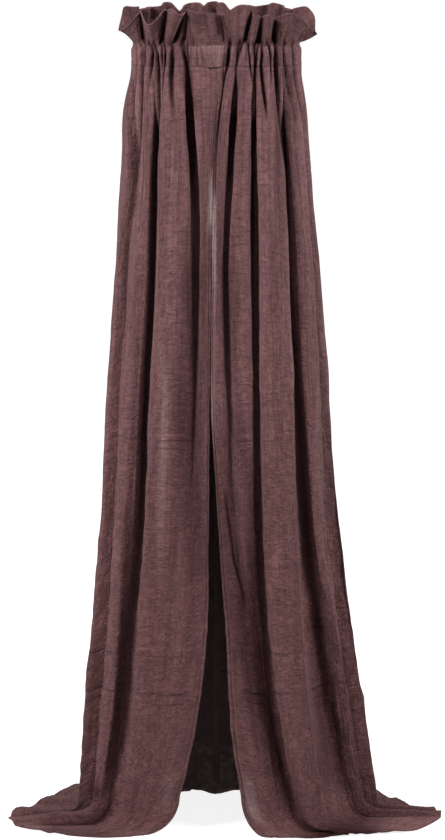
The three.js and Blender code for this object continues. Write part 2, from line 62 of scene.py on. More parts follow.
# The photograph's frame and the camera that matches it
IMAGE_WIDTH, IMAGE_HEIGHT = 445, 840
FOCAL_PIXELS = 3970
SENSOR_MM = 36
CAMERA_DISTANCE = 7.0
CAMERA_HEIGHT = 1.86
CAMERA_PITCH = math.radians(9.2)
CAMERA_OFFSET = 0.011
CLIP_END = 60

# Sizes of the crown and of the cloth on it, in metres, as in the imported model
CROWN_HALF_WIDTH, CROWN_HALF_DEPTH = 0.142, 0.092
CROWN_STRAIGHT = 0.05
STRAIGHT_SHARE = CROWN_STRAIGHT / CROWN_HALF_WIDTH
CLOTH = 0.0012
GAP, SEAM_GAP = 0.0003, 0.00004
SEAM_HEIGHT = 1.3999
TUNNEL_HEIGHT = 0.036
LOWER_SEAM = SEAM_HEIGHT - TUNNEL_HEIGHT
PANEL_TOP = LOWER_SEAM - GAP
FRONT_LAP = 0.012

# Hanging cloth: depths at its top, middle and foot, and how it bends onto the floor
SHOULDER_SHARE, MIDDLE_SHARE = 0.9, 0.62
FOLD_DEPTHS = (0.005, 0.016, 0.020)
FRONT_DEPTHS, FRONT_SHOULDER = (0.092, 0.118, 0.122), 0.104
BACK_DEPTHS, BACK_SHOULDER = (0.092, 0.126, 0.150), 0.104
FRONT_TRAIN, BACK_TRAIN = 0.163, 0.226
BEND_RADIUS, FRONT_BEND_RADIUS, EDGE_BEND_RADIUS = 0.030, 0.045, 0.066
EDGE_LINES, EDGE_POWER = 6, 1.5
FLOOR_REST = 0.0001
RIDGE_HEIGHT, RIDGE_LOSS = 0.012, 0.55
LINE_SPACING = 0.012
CREST_LEAST, CREST_SHARE, CREST_LIFT = 0.5, 0.62, 0.8

# Turns round the crown, from 0 in front to 1 behind, between which things fade out or in
BEHIND, HOLLOWS_END, TONES_END = (0.42, 0.48), (0.385, 0.445), (0.44, 0.5)
FRONT_END, NECK_END, SHEAR_END, CAVITY_END = (0.30, 0.47), (0.30, 0.46), (0.3, 0.4), (0.46, 0.5)
POOL_TURNS, STREAK_TURNS, INNER_LIGHT_TURNS = (0.6, 0.78), (0.6, 0.7), (0.55, 0.65)
FRONT_TURNS = (-0.2, 0.47)
CROWN_TURNS = (-0.1, 1, 600)

# Solving for a place on the cloth from a pixel
MOST_SINE, FIRST_SINE, LEAST_COSINE = 0.9995, 0.999, 0.25
FIRST_DEPTH, DEPTH_PASSES, TURN_PASSES = -0.1, 3, 4
TURNING_SLOPE = 0.3
SMALL, SMALLEST = 1e-7, 1e-12

# Noise and pleats
NOISE_SIZE, NOISE_SHIFT = 97, 1000
PLEAT_STARTS, PLEAT_HEIGHTS, SPARE_PLEATS = (0.1, 0.9), (0.55, 1), 4
BROAD_SEED, FRILL_SEED, FACING_SEED, FLUTTER_SEED, RUFFLE_SEED = 1, 40, 60, 2, 3
PATCH_PLEAT_SEED, WRINKLE_SEED, THREAD_SEED = 7, 5, 9

# Gathers: the row of the photograph where the cloth is drawn in, their pitch and depth, and the shade painted
# into their hollows
GATHER_ROW = 42
GATHER_PITCH, GATHER_DEPTH = 0.0098, 0.0045
FRONT_GATHER_SHARE, SHADE_START_SHARE = 0.3, 0.3
HOLLOW_DARKNESS, HOLLOW_SCALE = 0.0046, 1.4
HOLLOW_PAINTED_SHADE, HOLLOW_POWER = 0.76, 1.3
WALL_REACH, SIDE_FULLNESS, FRONT_FULLNESS = 0.0054, 0.003, 0.0095

# Curtains below the seam: how soon things fade, in metres, and the broad folds behind
WALL_FADE, GATHER_FADE, SEAM_BLEND, HANG_HEIGHT = 0.10, 0.08, 0.045, 0.06
BROAD_DEPTH, BROAD_FADE, BROAD_PITCH, BROAD_SPREAD = 0.0035, 0.22, 0.021, 0.4
SIDE_POWER = 6
CRUMPLE_LEAST, CRUMPLE_SPAN = 0.25, (0.4, 1.2)
POOL_DEPTH, POOL_HEIGHT, POOL_RUMPLE, POOL_STEPS = 0.032, 0.045, 0.006, (1.3, 2.1)
FLOOR_BUMPS, FLOOR_STEPS = 0.3, (1.5, 2.2)
HEM_ROLL, HEM_REACH = 0.0014, (0.0035, 0.006)
# Layers of bumps: step of the seed, slant, height, and period across and down
RIPPLES = ((2, 0, 0.0011, 0.016, 0.21), (3, 0, 0.0009, 0.0085, 0.09), (9, 0, 0.0006, 0.0055, 0.05))
CRUMPLES = ((4, 0.3, 0.0012, 0.028, 0.03), (10, -0.4, 0.0007, 0.013, 0.017))
POOL_RUMPLES = ((5, 0, 1, 0.03, 0.014), (6, 1, 0.8, 0.014, 0.016))
FLOOR_WAVES = ((7, 0, 0.005, 0.035, 0.05), (8, 0, 0.004, 0.018, 0.028))
INNER_STREAKS = ((11, 0.8, 1, 0.011, 0.006),)
# Painted light on the inside: paler behind, and painted streaks of sheen where light comes through at the
# back foot
STREAK_START, STREAK_LEAST, STREAK_LIGHT, STREAK_HEIGHTS = 0.1, 0.2, 3, (0.05, 0.11)
INNER_PAINTED_LIGHT = 0.42

# Header: the wall round the wire, clear of the sleeve and of the block
NECK_STAND = 0.0035
INNER_STAND, INNER_LEAST = 0.0042, 0.0008
HOOP_CLEARANCE, HOOP_POWER = 0.009, 4
SLEEVE_ROOM, SLEEVE_SPAN = 0.0013, (0.048, 0.058)
SLEEVE_LIFT, SLEEVE_LIFT_SPAN = 0.0015, (0.046, 0.070)
BLOCK_LIFT, BLOCK_LIFT_SPAN = 0.0028, (0.032, 0.056)
WALL_TOP_SHARES, LAP_SPAN, BACK_LAP_SPAN = (0.62, 1), (0.006, 0.016), (0.004, 0.014)

# Frill: its height and flare, the last wave behind, and how it leans, arches, flutters and sinks in
FRILL_HEIGHT, FRILL_FLARE = 0.054, 0.027
BACK_WAVE, CAVITY_DEPTH = (0.3, 1.2), 0.03
LEAN_POWER, DRIFT_POWER, PINCH_END, PINCH_POWER = 1.05, 1.1, 0.6, 1.2
ARCH, ARCH_LEAN, ARCH_START, ARCH_RISE, ARCH_LEAST = 0.007, 0.03, 0.018, 0.012, -0.25
FLUTTER, FLUTTER_PERIODS = 0.0011, (0.014, 0.6)
EDGE_RUFFLE, EDGE_RUFFLE_PERIODS, EDGE_RUFFLE_POWER = 0.0012, (0.01, 1), 4
SUNK_START, SUNK_RISE, SUNK_POWER = 0.25, 0.16, 0.7
# Painted shade over the whole frill and in the cavities below its lobes, and a painted highlight along its
# hem
FRILL_PAINTED_SHADE, EDGE_PAINTED_HIGHLIGHT, EDGE_HIGHLIGHT_SHARES = 0.27, 0.2, (0.955, 1)
CAVITY_PAINTED_SHADE, DARKEST_CAVITY, SEAM_HOLLOW_END = 0.5, 0.018, 0.3
FRILL_ROLL, FRILL_ROLL_REACH = 0.0009, (0.002, 0.005)

# Facing: the inner wall of the tunnel and its closed top
SEAM_REACH = 0.00075
ROOF_REACH, ROOF_LIFT, ROOF_ROWS = 0.0031, 0.0004, 4
FACING_COLUMNS, BLOCK_HALF = 260, 0.0215
FACING_ROOM, FACING_ROOM_RISE = 0.0021, 8
FACING_GATHER, BULGE_MARGIN, BULGE_POWER = 0.003, 0.04, 0.45

# Patch in front, with its corners as pixels, and tape behind
PATCH_SIZE = (0.045, 0.038)
PATCH_CORNERS = ((199.3, 45.6), (225.4, 45.2), (207, 67.8), (221.3, 67.3))
PATCH_COLUMNS, PATCH_ROWS, PATCH_TOP_SHARES = 48, 36, (0.62, 1)
PATCH_PLEAT, PATCH_PITCH, PATCH_WRINKLE, WRINKLE_PERIODS = 0.0008, 0.006, 0.0004, (0.004, 0.02)
PATCH_CLOTH, PATCH_ROLL, PATCH_ROLL_REACH = 0.0009, 0.0008, (0.001, 0.0025)
PATCH_EDGE_TONE, PATCH_EDGE_REACH = 0.3, (0.0008, 0.0022)
THREAD_TONE, THREAD_SHARE, THREAD_WIDTH_SHARE, THREAD_PERIODS = 0.6, 0.05, 0.03, (0.002, 1)
# The tape is made paler with painted light, to match the inside of the back
TAPE_WIDTH, TAPE_CLOTH, TAPE_STAND, TAPE_PAINTED_LIGHT = 0.012, 0.0008, 0.0006, -0.25

# Grids of the pieces
FALL_ROWS, BEND_ROWS, TRAIN_ROWS = 190, 12, 40
WALL_ROWS, FRILL_ROWS = 16, 30
TAPE_ROWS, TAPE_COLUMNS = 120, 7
COLUMN_STEP, LEAST_COLUMNS = 0.0019, 4
FRILL_STEP, LEAST_FRILL_COLUMNS = 0.0013, 6
LEVEL_ROWS = (66, 107, 160, 275, 400, 525, 640, 740, 806)

# Baking map: where the two sides of a cloth lie on it, and how its rim's faces are moved
MAP_SPAN, MAP_ROWS, MAP_SHIFT, MAP_LIMITS = (0.008, 0.488), (0.992, 0.008), 0.504, (0.001, 0.999)
RIM_FAR, RIM_ACROSS, RIM_DOWN = 0.3, 0.004, 0.002

# Noise in the gauze: scale across and down the cloth, detail and roughness
GAUZE_NOISE = {
    "bands": ((34, 1.6, 1), 3, 0.55), "streaks": ((300, 11, 1), 3, 0.6), "crinkles": ((290, 38, 1), 4, 0.62),
    "crepe": ((120, 300, 1), 4, 0.6), "crumples": ((46, 62, 1), 5, 0.62), "weave": ((700, 700, 1), 2, 0.55),
    "sway": ((9, 3, 1), 4, 0.55), "breaks": ((16, 5, 1), 1, 0.55),
}
# How much each layer counts at the top of the cloth and low down, for the colour and for the relief
LOW_SPAN = (0.1, 1)
TONE_WEIGHTS = {"bands": (0.4, 0.24), "crinkles": (0.16, 0.16), "streaks": (0.26, 0.16),
                "weave": (0.08, 0.08), "crepe": (0.1, 0.36)}
RELIEF_WEIGHTS = {"streaks": (0.3, 0.3), "crinkles": (1, 0.45), "crepe": (0.1, 0.8), "crumples": (2.5, 2.5),
                  "ridges": (-0.12, -0.36), "weave": (0.1, 0.1)}
TONE_STEPS, RIDGE_WIDTH, RIDGE_SHADE = (0.42, 0.5, 0.58), 0.07, 0.45
# The cloth lighter and less red towards its top, a little redder low down
TOP_TINT, LOW_TINT = (1.13, 1.22, 1.22, 1), (1, 0.97, 0.97, 1)
# Colours the Tone map mixes towards: darker for double cloth and painted shade, paler for thin cloth, thread
# and painted light
DOUBLE_AND_SHADED_SHARE, PALE_AND_PAINTED_LIGHT = 0.16, (0.46, 0.34, 0.33, 1)
# Sheen and specular are taken away where shade is painted
ROUGHNESSES, SHEENS, SPECULARS, SHADE_SPAN = (0.8, 0.96), (0.15, 0), (0.25, 0.03), (0.5, 0.85)
SHEEN_ROUGHNESS, SHEEN_TINT = 0.4, (0.92, 0.62, 0.59, 1)
RELIEF_HEIGHT, CRINKLE_SPAN = 0.0046, (0.2, 0.8)
# Colours of each cloth where it is light, in between and dark, and how strong the crinkles are
GAUZE_COLOURS = ((0.214, 0.098, 0.1, 1), (0.154, 0.066, 0.068, 1), (0.080, 0.031, 0.032, 1))
PATCH_COLOURS = ((0.22, 0.112, 0.113, 1), (0.16, 0.078, 0.08, 1), (0.105, 0.048, 0.05, 1))
TAPE_COLOURS = ((0.15, 0.082, 0.083, 1), (0.12, 0.062, 0.063, 1), (0.09, 0.046, 0.047, 1))
GAUZE_CRINKLE, PATCH_CRINKLE, TAPE_CRINKLE = 1, 0.8, 0.4
# Creases from storage: how far down the cloth, and how strong
CREASES = ((0.354, 0.3), (0.656, 0.8), (0.884, 0.4), (1.046, 1.3), (1.116, 1.5), (1.134, 0.9))
CREASE_WIDTH, CREASE_SWAY, CREASE_HEIGHT, CREASE_BREAKS = 0.0075, 0.026, 0.9, (0.4, 0.62, 0.15, 1)
# Stitched lines: how far from the edge and from the hem, radians of stitching in a metre, and the thread
EDGE_STITCH, STITCH_PLACE = 0.0075, 0.02
STITCHES, STITCH_SPAN, THREAD_HALF, THREAD_SHINE = 1100, (-0.4, 0.1), 0.0006, 0.5
DENT_HALF, DENT = 0.0022, -0.5

# Hard parts: noise of their marks and smudges, and how much these count
MARKS_NOISE, SMUDGES_NOISE = (4, 0.6), ((40, 40, 40), 2)
SMUDGE_SPAN, SMUDGE_TINT, WEAR_SHARES, WEAR = (0.3, 0.7), 0.86, (0.6, 0.4), 0.1
MARK_STRENGTH, MARK_HEIGHT = 0.35, 0.0003

# Studio: floor, surroundings, and each light's place, target, width and watts
FLOOR_HALF, FLOOR_DROP, FLOOR_GREY, FLOOR_ROUGHNESS = 12, 0.0002, 0.5, 0.9
FLOOR_GLOWS, FLOOR_GLOW_REACH = (0.86, 1), (0.3, 0.9)
WORLD_STRENGTH = 0.17
SEEN_RAYS = ("Is Camera Ray", "Is Glossy Ray", "Is Transmission Ray")
LIGHTS = {
    "Key": ((-2.45, -1.75, 2.75), (0, 0, 1.7), 1.0, 132),
    "Fill": ((2.9, -1.45, 2.7), (0, 0, 1.7), 1.5, 113),
    "Top": ((0.2, -0.5, 3.8), (0, 0, 0.7), 1.4, 10),
}

LEFT = {
    "name": "left", "sign": -1, "seed": 11,
    "reaches": (0.165, 0.189, 0.251), "tuck": 0.009, "train": 0.380, "facing_start": FRONT_LAP,
    # Fold lines in front, from the slit outwards: where each crosses LEVEL_ROWS in the photograph, how far it
    # stands out there in mm, and the height of its ridge on the floor in mm
    "front": [
        ((222.3, 216.4, 213.4, 210.3, 209.2, 208.4, 206.5, 192.9, 177),
         (0, -1, -3, -3, -3, -4, -6, -6, -6), 0),
        ((214, 211, 208.5, 206.8, 206, 205, 200.5, 187, 171), (2, 4, 5, 4, 2, 0, -1, -1, -1), 1),
        ((203, 203, 203.5, 203, 202, 199, 193, 180, 163), (2, 4, 5, 5, 2, 2, 2, 2, 1), 1),
        ((191, 196, 199.3, 201, 199, 194.5, 187.5, 174, 158), (1, 2, 3, 3, 0, 1, 2, 2, 1), 1),
        ((188, 193, 196.2, 198.2, 196, 189.5, 182.5, 169, 154), (-3, -14, -20, -15, -9, -1, 1, 1, 1), 1),
        ((185, 187, 190.5, 194, 193.5, 185, 177.5, 163.5, 149), (-3, -14, -20, -14, -8, 1, 2, 2, 1), 1),
        ((183, 183.8, 186.3, 187.5, 187, 180.5, 172, 158, 144), (2, 6, 8, 6, -1, 4, 4, 3, 2), 1),
        ((174.5, 175.5, 176, 173, 170, 168, 159, 147, 136), (2, 7, 10, 10, 6, 4, 4, 4, 3), 2),
        ((166, 166, 166, 162, 158, 154, 148, 139, 131), (2, 7, 10, 10, 10, 9, 8, 7, 5), 3),
        ((161.5, 161.3, 159.3, 157.7, 151.3, 145.6, 138, 132.5, 125), (2, 5, 7, 8, 8, 8, 7, 6, 4), 3),
        ((159.6, 159.4, 156.8, 155.2, 148.6, 143.8, 136, 130.3, 122),
         (-3, -13, -20, -30, -32, -30, -26, -22, -12), 0),
        ((156.6, 156.6, 153.4, 151, 144.6, 140, 131, 122.5, 113),
         (-3, -13, -20, -30, -32, -30, -26, -22, -12), 0),
        ((154.6, 154.4, 150.8, 148, 140.5, 135.5, 125.5, 114.5, 105), (2, 4, 6, 3, 0, -8, -12, -10, 2), 6),
        ((148, 148, 146, 137, 132, 124.5, 118, 108.5, 98), (2, 6, 9, 9, 9, 8, 7, 8, 9), 20),
        ((141, 142.5, 142, 131, 121, 112, 105, 97, 92), (1, 3, 4, 5, 6, 5, 4, 4, 6), 15),
        ((139, 139.5, 139.5, 128, 118, 109, 101, 92, 89), (-2, -6, -9, -3, -2, -7, -14, -16, -6), 1),
        ((131, 131, 130.5, 121, 112, 103.5, 96, 87, 85.5), (2, 5, 6, 6, 6, 6, 5, 6, 8), 13),
    ],
    # Fold lines round the side and behind: turn and stand at the seam, at half height and at the floor
    "rest": [
        ((0.43, 0.41, 0.444), (0.8, 0.95, 1.3)), ((0.5, 0.49, 0.51), (-0.8, -0.9, -0.5)),
        ((0.56, 0.555, 0.57), (0.9, 1, 0.9)), ((0.62, 0.61, 0.625), (-0.9, -1, -0.8)),
        ((0.68, 0.675, 0.68), (0.8, 1, 0.9)), ((0.74, 0.735, 0.74), (-0.8, -1.1, -0.8)),
        ((0.8, 0.8, 0.8), (0.9, 1, 0.9)), ((0.865, 0.87, 0.865), (-0.9, -0.9, -0.7)),
        ((0.935, 0.94, 0.935), (0.8, 0.8, 0.7)), ((1, 1, 1), (-0.3, -0.3, -0.2)),
    ],
    # Where the hem lies on the floor, by the turn at the floor
    "hem": [
        (0.097, 0.41, -0.93), (0.113, 0.46, -0.955), (0.134, 0.51, -0.975), (0.159, 0.58, -0.96),
        (0.188, 0.66, -0.91), (0.242, 0.79, -0.79), (0.303, 0.91, -0.62), (0.348, 0.965, -0.47),
        (0.4, 0.99, -0.31), (0.444, 0.965, 0.02), (0.51, 0.9, 0.22), (0.57, 0.82, 0.45), (0.625, 0.78, 0.66),
        (0.68, 0.7, 0.88), (0.74, 0.62, 1), (0.8, 0.5, 0.97), (0.865, 0.36, 0.84), (0.935, 0.18, 0.775),
        (1, 0, 0.775),
    ],
    # Frill in front: column at the gather line, column and row of its hem, and in mm how far the hem leans
    # out and how deep the cavity below it is
    "frill": [
        (228, 222.8, 14.6, 4, 0), (224.5, 219.5, 14.2, 5, 6), (221, 216, 13.6, 10, 0),
        (215, 210.5, 12.9, 13, 0), (209, 205, 12.9, 14, 0), (202, 199, 12.9, 13, 0), (195, 193, 11.6, 9, 0),
        (188.5, 188.4, 8.8, 3, 0), (185.5, 187.6, 8.8, -3, 12), (180, 187, 9, -3, 2),
        (176, 186.4, 9.5, -4, 14), (173, 185.6, 10.5, -2, 18), (171.3, 184.8, 12, 5, 2),
        (170.3, 182, 14, 15, 0), (169.3, 178, 13.7, 19, 0), (168.3, 174.5, 10.5, 15, 0),
        (167.3, 171.5, 8.4, 9, 0), (166.3, 169, 8.8, 4, 2), (164, 167, 9.8, -3, 18),
        (161.8, 165, 9.9, -3, 16), (160.3, 163.6, 10.2, 5, 2), (158.5, 159.5, 15.5, 15, 0),
        (156.5, 154.5, 20.8, 21, 0), (154.5, 150, 24.2, 24, 0), (152.8, 146, 23, 22, 0),
        (151, 142.6, 16, 13, 0), (148.5, 141, 11.5, 5, 16), (145.5, 140.3, 10.8, 3, 22),
        (142.8, 139.4, 12, 5, 6), (140.5, 134.5, 17.5, 13, 0), (138, 128, 25.5, 22, 0), (136, 122, 29, 27, 0),
        (134.7, 118.3, 28.6, 29, 0),
    ],
    # Frill behind: turn, how far its top leans out and how high it stands
    "waves": [
        (0.53, 0.95, 0.85), (0.545, 0.85, 1.1), (0.575, 0.6, 1.12), (0.605, 0.1, 1.1), (0.635, 0.7, 1),
        (0.67, -0.3, 1.08), (0.71, 0.6, 1.04), (0.745, -0.2, 1.1), (0.785, 0.35, 1.2), (0.81, 0.2, 1.2),
        (0.845, -0.25, 0.92), (0.875, 0.6, 1.12), (0.9, 0.5, 1.18), (0.93, 0.35, 1.18), (0.95, -0.3, 1.08),
        (0.97, 0.4, 1.2),
    ],
    # Narrow hollows of the gathers in front, which are also darkened with painted shade: width in pixels,
    # then row, column and depth in mm
    "creases": [
        (1.3, ((46, 135, 3), (60, 136, 3), (80, 135, 3), (107, 134, 2.5), (150, 131, 0))),
        (1.6, ((40, 139, 3), (50, 141, 4), (60, 141, 4), (80, 141.5, 6), (107, 141, 5), (160, 140, 3.5),
               (200, 137, 2), (250, 134, 0))),
        (1.3, ((40, 144, 4), (60, 144, 5), (70, 143, 3), (80, 142, 0))),
        (1.6, ((40, 149, 4), (55, 152, 8), (66, 151, 6), (80, 149, 3), (100, 147.5, 1), (130, 147, 0))),
        (1.8, ((40, 153.5, 5), (48, 154.5, 5), (55, 157, 5), (72, 158, 7), (107, 158, 6), (160, 155.5, 4),
               (275, 153, 2), (400, 146.5, 0))),
        (1.3, ((40, 160, 5), (50, 161, 6), (60, 161.5, 4), (70, 163, 2), (80, 163, 0))),
        (1.4, ((40, 164, 4), (50, 164.5, 5), (60, 165, 5), (72, 163.5, 4), (90, 162.5, 2), (120, 163, 0))),
        (2.7, ((40, 171, 3), (50, 172, 6), (55, 172, 7), (62, 172, 8), (72, 171, 8), (90, 171, 5),
               (107, 172, 2.5), (130, 172, 1.5), (200, 168, 0))),
        (2.9, ((36, 182, 5), (46, 182.5, 7), (55, 184.3, 8), (62, 186.5, 9), (80, 188.2, 9), (107, 189.5, 8),
               (160, 192.5, 5), (240, 196, 0))),
        (1.2, ((42, 188, 3), (50, 187.5, 5), (58, 189, 4), (66, 190, 0))),
        (1.2, ((44, 194, 3), (50, 193, 0))),
        (1.4, ((50, 197, 1.5), (80, 199.5, 2), (107, 201, 1.5), (160, 205, 0))),
    ],
    # Where the cloth lies double or thin, and painted shade and painted light in grooves, on the trains and
    # along the slit: width in pixels, then row, column and how much darker (or lighter)
    "tones": [
        (14, ((215, 192, 0), (275, 194, 0.42), (340, 192, 0.42), (400, 190, 0.48), (440, 190, 0.5),
              (480, 191, 0.42), (525, 194, 0.38), (560, 196, 0.3), (600, 197, 0.08), (640, 197, 0))),
        (4.5, ((300, 161, 0), (350, 162, -0.1), (400, 165, -0.2), (450, 163, -0.18), (525, 160, -0.1),
               (580, 158, 0))),
        (7, ((350, 178, 0), (400, 177, 0.18), (525, 175, 0.1), (600, 170, 0))),
        (6, ((500, 130, 0), (570, 125, 0.15), (640, 121, 0.3), (700, 117, 0.3), (760, 112, 0.3),
             (790, 108, 0.2), (810, 108, 0))),
        (2.4, ((165, 212.5, 0), (185, 211.5, -0.8), (215, 210.5, -0.8), (240, 209, 0))),
        (9, ((630, 93, 0), (655, 94, 0.22), (700, 92, 0.25), (745, 88, 0.1), (765, 88, 0))),
        (6, ((772, 96, 0), (792, 95, 0.6), (802, 94, 0.35), (815, 94, 0))),
        (34, ((798, 60, 0), (815, 62, 0.22), (836, 80, 0.28))),
        (7, ((10, 200, 0.3), (24, 200, 0.3), (34, 202, 0))),
        (3, ((12, 216, 0), (18, 217, 0.5), (32, 219, 0.45), (38, 221, 0))),
        (6, ((765, 172, 0), (785, 170, -0.12), (800, 166, -0.14), (815, 158, 0))),
    ],
    "widen": ((0, 0), (0.11, 1), (0.24, 4), (0.58, 1.5), (0.75, 6), (1.0, 4.5), (1.2, 4), (1.3, 4), (1.4, 0)),
    "lap": 0, "back_lap": 2,
    "shear": (-6, 12),
}
